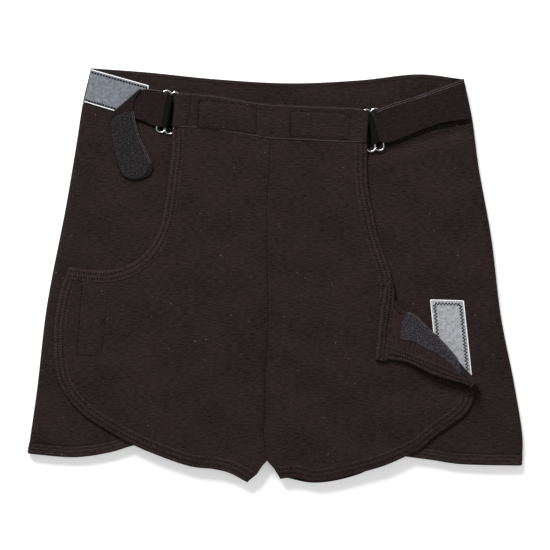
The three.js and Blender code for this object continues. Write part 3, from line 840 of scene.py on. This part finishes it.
for name, s in SIDES.items():
    side, edge, hem, seam = s["side"], s["edge"], s["hem"], s["seam"]
    waist_fold, seam_fold, hem_fold = s["fold"]
    hem_top = lambda x: hem(x) + LEG_HEM
    above_hem = lambda x: hem_top(x) + 0.3
    strap = rolled(s, (waist_fold, seam_fold), s["strap_inner"], between(waist, waist_low),
                   between(s["strap_top"], seam), 11, flat_side)
    strap = strap.piece(f"{name}_waist_strap_cloth", WEBBING, "webbing")
    cloth = rolled(s, (seam_fold - LAP, hem_fold + LEG_HEM + 0.3),
                   s["underlap"], between(lambda x: waist_low(x) - LAP, above_hem),
                   between(lambda x: seam(x) - LAP, above_hem), 110, side_height)
    cloth = cloth.piece(f"{name}_side_cloth", JERSEY, "jersey")
    turn_up = rolled(s, (hem_fold + LEG_HEM, hem_fold), (s["underlap"][1],) * 2,
                     between(hem_top, hem), between(hem_top, hem), 14, side_height,
                     thickness=EDGE, share=in_section)
    turn_up = turn_up.piece(f"{name}_leg_hem_band", EDGING, "edging")
    for piece, node in ((strap, "waist_strap"), (cloth, "side_panel"), (turn_up, "leg_hem")):
        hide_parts(f"{name}_{node}")
        if piece is not strap:
            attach(piece, "shorts")
    s["strap_piece"] = strap
    lines = []
    for u in STITCH_ROWS:
        xs = np.linspace(edge(hem_fold) - side * 6, edge(hem_fold) - side * 105, 45)
        row = np.column_stack([xs, hem(xs) + LEG_HEM * u])
        lines.append(lifted(row, side_height, EDGE * 0.42))
    stitches(f"{name}_leg_hem_stitches", lines, THREAD, "edging", "shorts")

# Crotch inseam: a short curved wall between the front and the back
wall = curve([(-25, -200), (-15, -191), (CENTRE, -183.5), (-1.5, -192), (3, -199)], 1.6)
levels = np.linspace(2.2, 12.4, 8)
points = np.array([(x, y, z) for z in levels for x, y in moved(wall, 0.8)])
faces = grid_faces(len(levels), len(wall))
inseam = Shell(points, faces, points[:, [0, 2]], CLOTH)
settled(inseam.piece("crotch_seam_cloth", JERSEY, "jersey"), "shorts", "crotch_inseam")


# ---------------------------------------------------------------- front panel

SPLIT_Y = 75.0  # the left flap's piece of the front panel starts below this line
SEGMENTS = 4  # pieces of the roll along the fold of the right flap


def flap_blend(piece):
    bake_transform(piece)


def fold_blend(piece, n):
    """The n-th piece of the roll along the fold, its transform baked into its mesh."""
    middle = FOLD_A + (n + 0.5) / SEGMENTS * (FOLD_B - FOLD_A)
    z0, z1 = front_height(middle[None])[0], corner_height(middle[None])[0]
    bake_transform(piece)


def segment_of(places):
    share = (places[:, :2] - FOLD_A) @ FOLD_WAY / FOLD_LENGTH
    return np.clip(np.floor(share * SEGMENTS), 0, SEGMENTS - 1)


def roll_point(r, t, out=0.0):
    """A point of the roll at place r along the fold, turned by t from the panel, raised by out."""
    p, q = fold_line[r], ridge[r]
    z0, z1 = fold_low[r], fold_high[r]
    s = (1 + math.sin(t)) / 2
    xy = p + (q - p) * s + FOLD_OUT * ((z1 - z0) / 2 + out) * max(math.cos(t), 0)
    return (*xy, z0 + (z1 - z0) * s + out * math.sin(t))


fold_line = spaced([FOLD_A, FOLD_B], 1.9)
fold_at = (fold_line - FOLD_A) @ FOLD_WAY
ridge = fold_line + FOLD_OUT * RIDGE(fold_at)[:, None]
fold_low, fold_high = front_height(fold_line), corner_height(ridge)
outline = np.vstack([moved(LEFT_OPENING, LAP)[:-1], moved(LEFT_HEM, LAP), CROTCH,
                     moved(RIGHT_HEM, LAP)[:-1], fold_line[::-1], moved(RIGHT_OPENING, LAP)[1:],
                     BAND_SEAM[::-1][1:-2] - [0, 0.3]])
panel_points, panel_faces = filled(
    outline, PANEL_STEP, [CENTRE_SEAM + [dx, 0] for dx in (-1.4, 0, 1.4)]
    + [closed_line(FLAP_BOX, d) for d in (-1, 0, 1)])
panel = raised(panel_points, front_height)

corner_outline = np.vstack([ridge, moved(CORNER_HEM, LAP)[::-1][1:],
                            moved(CORNER_SIDE, LAP)[::-1][1:-1]])
corner_points, corner_faces = filled(corner_outline, PANEL_STEP)
corner_faces = [f[::-1] for f in corner_faces]  # seen from its reverse
corner = raised(corner_points, corner_height)

# The roll that joins them: from the panel up round the fold to the corner
turns = np.linspace(-math.pi / 2, math.pi / 2, 11)
roll = np.array([roll_point(r, t) for r in range(len(fold_line)) for t in turns])
roll_faces = turned(roll, grid_faces(len(fold_line), len(turns)), (*FOLD_OUT, 0))
roll_pattern = np.array([p + FOLD_OUT * (z1 - z0) / 2 * (t + math.pi / 2)
                         for p, z0, z1 in zip(fold_line, fold_low, fold_high) for t in turns])
points, faces, pattern, part = welded(
    (panel, panel_faces, panel_points), (roll, roll_faces, roll_pattern),
    (corner, corner_faces, mirrored(corner_points, FOLD_A, FOLD_B)))
front = Shell(points, faces, pattern, CLOTH)
middles = np.array([points[f].mean(0) for f in faces])
seam_x = np.interp(middles[:, 1], CENTRE_SEAM[::-1, 1], CENTRE_SEAM[::-1, 0])
region = np.select([part == 1, part == 2, middles[:, 0] > seam_x, middles[:, 1] > SPLIT_Y],
                   ["roll", "corner", "right", "top"], "left")
piece = front.piece("front_cloth_left_top", JERSEY, "jersey", region == "top")
settled(piece, "shorts")
piece = front.piece("front_cloth_left", JERSEY, "jersey", region == "left")
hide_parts("front_panel_left", "left_flap")
flap_blend(piece)
piece = front.piece("front_cloth_right", JERSEY, "jersey", region == "right")
settled(piece, "shorts", "front_panel_right")
piece = front.piece("folded_corner_cloth", REVERSE, "jersey", region == "corner")
settled(piece, "right_flap", "right_flap")

segment = segment_of(middles)
for n in range(SEGMENTS):
    fold_blend(front.piece(f"corner_fold_{n + 1}", JERSEY, "jersey",
                           (region == "roll") & (segment == n)), n)

# Hook patch on the reverse of the folded corner, over the ridge of the fold
UP = CLOTH / 2 + TAPE / 2 + 0.05
wrapped = np.nonzero((fold_at > 19) & (fold_at < 99.5))[0]
columns = 8
strip = []
for r in wrapped:  # it reaches less far round the fold towards the patch's ends
    begin = -0.3 + 1.6 * ramp((fold_at[r] - 78) / 21) + 1.2 * ramp((24 - fold_at[r]) / 5)
    strip += [roll_point(r, t, UP) for t in np.linspace(begin, math.pi / 2, columns)]
strip = np.array(strip)
strip_faces = turned(strip, grid_faces(len(wrapped), columns))
hook_low = curve([(183.6, -98.4), (176.85, -90.6), (169.75, -84.2), (160.75, -77.9),
                  (148.35, -72.2), (139.35, -67.0), (125.15, -64.2)], 2.0)
hook_side = curve([(125.15, -64.2), (126.05, -51.4), (128.2, -42.0)], 2.0)
flat_points, flat_faces = filled(np.vstack([ridge[wrapped], hook_low, hook_side[1:]]),
                                 PANEL_STEP)
flat = np.column_stack([flat_points, corner_height(flat_points) + UP])
points, faces, pattern, part = welded(
    (strip, strip_faces, strip[:, :2]), (flat, turned(flat, flat_faces), flat_points))
hooks = Shell(points, faces, pattern, TAPE, 0.2)
segment = segment_of(np.array([points[f].mean(0) for f in faces]))
settled(hooks.piece("corner_hook_tape", HOOK, "hook_tape", part == 1), "right_flap",
        "right_flap_hook_patch")
for n in range(SEGMENTS):
    fold_blend(hooks.piece(f"corner_hook_fold_{n + 1}", HOOK, "hook_tape",
                           (part == 0) & (segment == n)), n)
stitches("corner_hook_stitches", [lifted(moved(hook_low, -0.9), corner_height, CLOTH / 2 + 0.2)],
         THREAD, "hook_tape", "right_flap", pitch=1.5, length=2.0, radius=0.7)

# Bindings of the openings and hems
split = np.argmin(abs(LEFT_OPENING[:, 1] - SPLIT_Y) + (LEFT_OPENING[:, 0] < -115) * 500)


def twist_height(p):
    share = ramp((-4 - p[:, 1]) / 24)
    return (front_height(p) + 2.4) * (1 - share) + (corner_height(p) + 0.2) * share


def side_height_of_corner(p):
    return corner_height(p) + 0.2 + 0.6 * ramp((-62 - p[:, 1]) / 10)


def flap_edge_height(p):
    return front_height(p) + 0.35 * ramp((-190 - p[:, 0]) / 6)


even = lambda line: (line, moved(line, BINDING))
for name, (outer, inner), height, body, nodes in (
        ("left_opening_edge", even(LEFT_OPENING[:split + 1]), front_height, "shorts",
         ["left_opening_binding"]),
        ("left_flap_top_edge", even(LEFT_OPENING[split:]), flap_edge_height, "left_flap", []),
        ("left_flap_hem_edge", even(LEFT_HEM), front_height, "left_flap",
         ["left_flap_binding", "left_front_hem"]),
        ("right_opening_edge", even(RIGHT_OPENING), front_height, "shorts",
         ["right_opening_binding"]),
        ("right_hem_edge", even(RIGHT_HEM), front_height, "shorts", ["right_front_hem"]),
        ("corner_hem_edge", (CORNER_HEM, CORNER_HEM_INNER), corner_height, "right_flap",
         ["right_flap_binding"]),
        ("corner_side_edge", (CORNER_SIDE, CORNER_SIDE_INNER), side_height_of_corner,
         "right_flap", []),
        ("corner_twist_edge", (TWIST_OUTER, TWIST_INNER), twist_height, "twist", [])):
    outer, inner = matched(spaced(outer, 1.5), spaced(inner, 1.5), 1.5)
    pieces = [binding(outer, inner, height).piece(name, EDGING, "edging")]
    if nodes:
        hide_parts(*nodes)
    reverse = name.startswith("corner")
    rows = [lifted(outer + (inner - outer) * u, height, EDGE * 0.37) for u in STITCH_ROWS]
    pieces.append(stitches(f"{name}_stitches", rows, LOOPER, "edging", None, radius=0.33,
                           length=1.7))
    if reverse:  # the looper side of the coverstitch
        row = lifted(outer + (inner - outer) * 0.54, height, EDGE * 0.52)
        pieces.append(tube_piece(f"{name}_loopers", [zigzag(row[2:], 2.4, 4.4)], 0.36,
                                 LOOPER, "edging"))
        pieces.append(tube_piece(f"{name}_loopers_dark",
                                 [zigzag(row[2:] - [0, 0, 0.15], 2.4, -4.4)], 0.28,
                                 THREAD, "edging"))
    for piece in pieces:
        if body == "left_flap":
            flap_blend(piece)
        elif body == "twist":
            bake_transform(piece)
        else:
            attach(piece, body)

# Stitched rectangle that holds the hook patch under the left flap
box = lifted(spaced(closed_line(FLAP_BOX), 2.0), front_height, CLOTH / 2)
stitches("left_flap_patch_stitches", [box], THREAD, "jersey", "left_flap", pitch=2.4, length=2.3,
         radius=0.55)
hook_under = lambda p: front_height(p) - CLOTH / 2 - 0.15 - TAPE / 2
piece = flat_cloth("left_flap_hook_tape", FLAP_BOX, hook_under, TAPE, HOOK, "hook_tape")
settled(piece, "left_flap", "left_flap_hook_patch")
lines = [lifted(CENTRE_SEAM[1:-3], front_height, CLOTH / 2)]
stitches("centre_seam_stitches", lines, THREAD, "jersey", "shorts", pitch=2.6, radius=0.45,
         length=2.9)


# ---------------------------------------------------------------- front waistband

outline = np.vstack([BAND_TOP, BAND_SEAM[::-1]])
creases = [closed_line(c, d) for c in BAND_BOXES.values() for d in (-1, 0, 1)]
creases += [BAND_TAB + [d, 0] for d in (-1, 0, 1)]
piece = flat_cloth("front_waistband_cloth", outline, band_height, BAND, JERSEY, "jersey", 2.4, 0.3,
                   creases)
settled(piece, "shorts", "front_waistband")
rows = [lifted(spaced(BAND_TAB, 2.0)[1:-1], band_height, BAND / 2)]
for name, corners in BAND_BOXES.items():
    rows.append(lifted(spaced(closed_line(corners), 2.0), band_height, BAND / 2))
    under = lambda p: band_height(p) - BAND / 2 - 0.3 - TAPE / 2
    piece = flat_cloth(f"{name}_band_patch", corners, under, TAPE, WEBBING, "webbing")
    settled(piece, "shorts", f"{name}_waistband_patch")
stitches("waistband_box_stitches", rows, THREAD, "jersey", "shorts", pitch=2.4, length=2.3,
         radius=0.5)
edges = [lifted(moved(BAND_TOP, -1.0)[2:-2], band_height, BAND / 2 - 0.15),
         lifted(moved(BAND_SEAM, 1.0)[2:-2], band_height, BAND / 2 - 0.15)]
settled(tube_piece("waistband_edge_piping", edges, 0.42, LOOPER, "jersey"), "shorts")


# ---------------------------------------------------------------- loop patches

def patch(name, outline, height, material, selvedge_sides, zigzag_width, body):
    """Loop tape with woven selvedges and its sewing, as a piece and its trim."""
    top = lambda p: height(p) + CLOTH / 2 + 0.3 + TAPE / 2
    tape = flat_cloth(f"{name}_tape", outline, top, TAPE, material, "loop_tape", bulge=0.2)
    trim = [lifted(spaced([outline[a], outline[b]], 2.0), top, TAPE * 0.25)
            for a, b in selvedge_sides]
    pieces = [tape, tube_piece(f"{name}_selvedge", trim, 0.55, SELVEDGE, "loop_tape", 8)]
    if zigzag_width:
        line = lifted(spaced(closed_line(outline, 3.4), 1.0), top, TAPE / 2 + 0.1)
        pieces.append(tube_piece(f"{name}_zigzag", [zigzag(line, 3.3, zigzag_width)], 0.62,
                                 THREAD, "loop_tape"))
    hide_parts(name)
    if body:
        for piece in pieces:
            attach(piece, body)
    return pieces


ROUND = [(0, 1), (1, 2), (2, 3), (3, 0)]
patch("right_side_loop_patch", [(155.5, -25), (188.3, -26), (196.3, -101), (162.8, -99.5)],
      side_height, LOOP, ROUND, 2.6, "shorts")
patch("left_side_loop_patch", [(-197, -8), (-164, -8), (-171, -83), (-203, -83)],
      side_height, LOOP, ROUND, 2.6, "shorts")
waist_patches = {}
for name, outline in (
        ("left", [(-183.8, 205.2), (-127, 189.2), (-134.5, 156.5), (-191.0, 173.6)]),
        ("right", [(130, 170), (182, 188.5), (185.5, 159), (130, 143)])):
    pieces = patch(f"{name}_waist_loop_patch", outline, flat_side, LOOP_DARK,
                   ROUND[:3], 0, None)
    top = lambda p: flat_side(p) + CLOTH / 2 + 0.3 + TAPE
    a, b, c, d = map(np.array, outline)
    rows = []
    for p, q, r, s in ((a, b, d, c), (d, c, a, b)):
        away = 2.1 / np.linalg.norm(r - p)
        rows.append(lifted(spaced([p + (r - p) * away, q + (s - q) * away], 2.0), top, 0.15))
    pieces.append(stitches(f"{name}_waist_loop_stitches", rows, THREAD, "loop_tape", None,
                           pitch=3.0, length=1.9, radius=0.95, taper=0.8))
    waist_patches[name] = pieces


# ---------------------------------------------------------------- sliders and straps

SLIDERS = {
    "left": {"at": np.array([-107.3, 162.8]), "lean": math.radians(-10.4), "outer": -1,
             "keeper": (-12.5, 17), "strap": (-15.5, 17)},
    "right": {"at": np.array([97.75, 145.0]), "lean": math.radians(7.3), "outer": 1,
              "keeper": (-10.8, 17), "strap": (-14.2, 17)},
}
PITCH, HALF, ARC, WIRE = 8.5, 17.8, 3.2, 0.85  # between bars, half a bar, end arcs, wire radius
ACROSS = np.linspace(0, 1, 14)  # places across a strap


def on_slider(s, x, y, z):
    """A place in a slider's own axes, in the garment's frame."""
    c, n = math.cos(s["lean"]), math.sin(s["lean"])
    return np.array([s["at"][0] + x * c - y * n, s["at"][1] + x * n + y * c, SLIDER_Z + z])


for name, s in SLIDERS.items():
    wires = [[on_slider(s, 0, y, 0) for y in np.linspace(-HALF, HALF, 12)]]
    for lobe in (-1, 1):
        loop = []
        for end in (1, -1):
            for t in np.linspace(0, math.pi, 15):
                x = PITCH / 2 - end * math.cos(t) * PITCH / 2
                y = end * (HALF + math.sin(t) * ARC)
                loop.append(on_slider(s, lobe * x, y, 0))
        wires.append(spaced(loop, 1.4))
    piece = tube_piece(f"{name}_wire_slider", wires, WIRE, CHROME, "metal", 12)
    settled(piece, f"{name}_slider", f"{name}_slider")
    # Keeper: a narrow strip from the front waistband round the inner bar
    out, (low, high) = s["outer"], s["keeper"]
    path = [(-PITCH - 7.0, 2.1)] + [(-PITCH + 2.25 * math.sin(t), 2.25 * math.cos(t))
                                    for t in np.linspace(0, math.pi, 10)] + [(-PITCH - 7.0, -2.1)]
    path = spaced(path, 0.8)
    across = np.linspace(low, high, 12)
    points = np.array([on_slider(s, out * x, y, z) for x, z in path for y in across])
    faces = grid_faces(len(path), len(across))
    faces = turned(points, faces, judged=[f for f in faces if points[f[0], 2] > SLIDER_Z + 1.5])
    pattern = [(k * 0.8, y) for k in range(len(path)) for y in across]
    # painted shade: the keeper gets the near-black knit
    piece = Shell(points, faces, pattern, STRAP).piece(f"{name}_keeper", SHADED, "webbing")
    settled(piece, "shorts", f"{name}_keeper_loop")


def strap_rows(s, start, upper, lower):
    """The middle surface of a strap: under the slider, round its centre bar, then up to the start
    line and on between its upper and lower edges. Gives its rows and how many are in the loop."""
    out, (low, high) = s["outer"], s["strap"]
    path = [(PITCH + 4.0, -1.9)] + [(-1.75 * math.sin(t), -1.75 * math.cos(t))
                                    for t in np.linspace(0, math.pi, 12)]
    path = spaced(path, 1.0)
    grid = [[on_slider(s, out * x, high + (low - high) * k, z) for k in ACROSS] for x, z in path]
    start_row = [np.array([*(start[0] + (start[1] - start[0]) * k), STRAP_Z]) for k in ACROSS]
    last = grid[-1]
    for t, lift in ((0.35, 0.05), (0.7, 0.25), (0.92, 0.7)):
        grid.append([np.array([*(a + (b - a) * t)[:2], a[2] + (b[2] - a[2]) * lift])
                     for a, b in zip(last, start_row)])
    loops = len(grid)
    grid.append(start_row)
    u, l = matched(curve(np.vstack([[start[0]], upper]), 1.0),
                   curve(np.vstack([[start[1]], lower]), 1.0), 2.5)
    for a, b in zip(u[1:], l[1:]):
        row = np.array([a + (b - a) * k for k in ACROSS])
        z = STRAP_Z + 0.25 * wave(row, 18, 11.0) * ramp(distance_to(row, start) / 10)
        grid.append([np.array([*p, h]) for p, h in zip(row, z)])
    return grid, loops


def strap_shell(grid):
    """A strap as a Shell with the row of each of its faces."""
    rows, columns = len(grid), len(grid[0])
    points = np.array([p for row in grid for p in row])
    steps = [0.0]
    for a, b in zip(grid[:-1], grid[1:]):
        steps.append(steps[-1] + float(np.mean([np.linalg.norm(q - p) for p, q in zip(a, b)])))
    across = [0.0]
    middle = grid[rows // 2]
    for p, q in zip(middle[:-1], middle[1:]):
        across.append(across[-1] + float(np.linalg.norm(q - p)))
    pattern = [(s, a) for s in steps for a in across]
    faces = grid_faces(rows, columns)
    return Shell(points, faces, pattern, STRAP), np.array([min(f) // columns for f in faces])


# Left strap: out of the slider, then folded down with its hooks up
s = SLIDERS["left"]
grid, loops = strap_rows(
    s, np.array([(-108.6, 181.0), (-114.4, 148.6)]),
    [(-111.4, 182.7), (-120, 184.6), (-128.2, 185.5), (-134.2, 185.0)],
    [(-122.7, 150.4), (-130.2, 154), (-140.2, 157), (-152, 159.8), (-162.2, 161)])
a, b = grid[-1][0][:2], grid[-1][-1][:2]
outward = np.array([(b - a)[1], -(b - a)[0]])  # from the fold line, away from the strap
outward /= -np.sign(outward[0]) * np.linalg.norm(outward)
body_rows = len(grid)
for t in np.linspace(-math.pi / 2, math.pi / 2, 7)[1:-1]:
    row = []
    for x, y, z0 in grid[body_rows - 1]:
        z1 = tail_height(np.array([[x, y]]))[0]
        r = (z1 - z0) / 2
        place = np.array([x, y]) + outward * r * math.cos(t)
        row.append(np.array([*place, (z0 + z1) / 2 + r * math.sin(t)]))
    grid.append(row)
fold_rows = len(grid)
right_side = spaced(curve([a, (-140.5, 176), (-142.6, 163), (-138, 143.5), (-128.8, 122),
                           (-122.6, 108), (-125.0, 101.5)], 1.0), 2.4)
left_side = curve([b, (-164.2, 156.5), (-163.2, 142), (-157.5, 110), (-151, 98.5), (-146, 97.0)],
                  1.0)
left_side = spaced(left_side, np.linalg.norm(np.diff(left_side, axis=0), axis=1).sum()
                   / (len(right_side) - 1))
for k, (p, q) in enumerate(zip(right_side, left_side)):
    row = np.array([p + (q - p) * w for w in ACROSS])
    end = ramp((k - len(right_side) + 7) / 6)  # the last rows bow into a rounded end
    row[:, 1] -= 3.0 * end * (1 - (2 * ACROSS - 1) ** 2)
    z = tail_height(row)
    grid.append([np.array([*point, h]) for point, h in zip(row, z)])
shell, row_of = strap_shell(grid)
# painted shade: the strap's turn round the centre bar gets the near-black knit
loop = shell.piece("left_strap_turn", SHADED, "webbing", row_of < loops - 1)
piece = shell.piece("left_strap_cloth", WEBBING, "webbing",
                    (loops - 1 <= row_of) & (row_of < body_rows - 1))
upper_edge = [row[0] + [0, 0, 0.55] for row in grid[loops:body_rows]]
# painted highlight: a light line along the strap's upper edge, where its layers catch the light
edge_highlight = tube_piece("left_strap_edge_highlight", [upper_edge], 0.45, EDGE_HIGHLIGHT, "webbing")
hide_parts("left_strap_loop")
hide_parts("left_strap")
for part in (loop, piece, edge_highlight):
    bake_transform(part)
piece = shell.piece("left_strap_fold", WEBBING, "webbing",
                    (body_rows - 1 <= row_of) & (row_of < fold_rows))
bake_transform(piece)
piece = shell.piece("left_strap_tail_cloth", WEBBING, "webbing", row_of >= fold_rows)
settled(piece, "left_strap_tail", "left_strap_tail")
on_tail = lambda p: tail_height(p) + STRAP / 2 + 0.1 + TAPE / 2
tail_hook = np.vstack([
    [(-162.2, 155.5), (-158, 158.5), (-150, 162), (-145.4, 163)],
    curve([(-144.8, 160), (-141.0, 144), (-132.5, 124), (-126.6, 110), (-127.8, 104), (-134, 98.0),
           (-142, 96.0), (-149.5, 98.6), (-156.4, 111), (-161.6, 134), (-163.2, 150)], 2.0)])
piece = flat_cloth("left_tail_hook_tape", tail_hook, on_tail, TAPE, HOOK_DARK, "hook_tape", 2.0)
settled(piece, "left_strap_tail", "left_strap_hook_tape")
margin = curve([(-143.6, 163), (-139.9, 144.5), (-131.2, 123.6), (-125.3, 110)], 2.0)
# painted highlight: two light lines along the tail's right edge
trim = [lifted(moved(margin, d), tail_height, STRAP / 2 + 0.1) for d in (0.2, 1.8)]
settled(tube_piece("left_tail_edge_highlight", trim, 0.42, EDGE_HIGHLIGHT, "webbing"), "left_strap_tail")

# Right strap: out of the slider and along the side
s = SLIDERS["right"]
grid, loops = strap_rows(
    s, np.array([(96.9, 162.4), (105.4, 134.4)]),
    [(104.75, 166.6), (119.7, 172.2), (144.7, 179.8), (164.7, 187), (188.4, 195.7)],
    [(109.2, 132.3), (122.7, 136), (139.7, 143), (164.7, 152), (193.6, 156.6)])
shell, row_of = strap_shell(grid)
# painted shade: the strap's turn round the centre bar gets the near-black knit
loop = shell.piece("right_strap_turn", SHADED, "webbing", row_of < loops - 1)
piece = shell.piece("right_strap_cloth", WEBBING, "webbing", row_of >= loops - 1)
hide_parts("right_strap_loop")
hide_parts("right_strap")
# painted highlight: two light lines just inside the strap's upper edge, for its lit layered edges
trim = [[(*(row[0] + (row[-1] - row[0]) * inset)[:2], row[0][2] + 0.6)
         for row in grid[loops + 2:]] for inset in (0.02, 0.075)]
edge_highlight = tube_piece("right_strap_edge_highlight", trim, 0.42, EDGE_HIGHLIGHT, "webbing")
for part in (loop, piece, edge_highlight):
    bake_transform(part)
hook = [(142, 174), (183, 189.5), (186, 160), (142, 148)]
under = lambda p: STRAP_Z - STRAP / 2 - 0.2 - TAPE / 2 + 0 * p[:, 0]
piece = flat_cloth("right_strap_hook_patch", hook, under, TAPE, HOOK, "hook_tape")
settled(piece, "right_strap", "right_strap_hook_tape")

# The waist straps and what is sewn on them have their transforms baked into their meshes
for name, reach in (("left", (-0.152, -0.124)), ("right", (0.150, 0.114))):
    for piece in [SIDES[name]["strap_piece"], *waist_patches[name]]:
        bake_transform(piece)


# ---------------------------------------------------------------- stage, lights and camera

floor_mesh = bpy.data.meshes.new("floor")
floor_mesh.from_pydata([(-6, -6, 0), (6, -6, 0), (6, 6, 0), (-6, 6, 0)], [], [(0, 1, 2, 3)])
floor = linked("floor", floor_mesh)
look = Look("floor_white", 0.9)
look.shader.inputs["Emission Color"].default_value = (1, 1, 1, 1)
look.shader.inputs["Emission Strength"].default_value = 0.36
floor.data.materials.append(look.colour((0.86, 0.86, 0.86, 1)))
floor.location.z = -0.0002


def area_light(name, size, power, place):
    """A round light that aims at the middle of the garment."""
    light = bpy.data.lights.new(name, "AREA")
    light.shape, light.size, light.energy = "DISK", size, power
    holder = linked(name, light)
    holder.location = place
    holder.rotation_mode = "QUATERNION"
    holder.rotation_quaternion = Vector(place).to_track_quat("Z", "Y")


area_light("key", 1.5, 176, (-1.1, 2.6, 2.4))
area_light("fill", 2.5, 10, (1.6, -0.6, 2.2))
world = bpy.data.worlds.new("studio")
world.use_nodes = True
world.node_tree.nodes["Background"].inputs["Color"].default_value = (1, 1, 1, 1)
world.node_tree.nodes["Background"].inputs["Strength"].default_value = 0.36
bpy.context.scene.world = world

CAMERA_HEIGHT, SEEN_WIDTH, SEEN_AT = 3.0, 0.550, 0.0125  # metres; the width at the front's height
camera = linked("camera", bpy.data.cameras.new("camera"))
camera.data.sensor_width = 36
camera.data.lens = 36 * (CAMERA_HEIGHT - SEEN_AT) / SEEN_WIDTH
camera.location = (-0.00025, 0, CAMERA_HEIGHT)
bpy.context.scene.camera = camera
bpy.context.scene.view_settings.view_transform = "Standard"
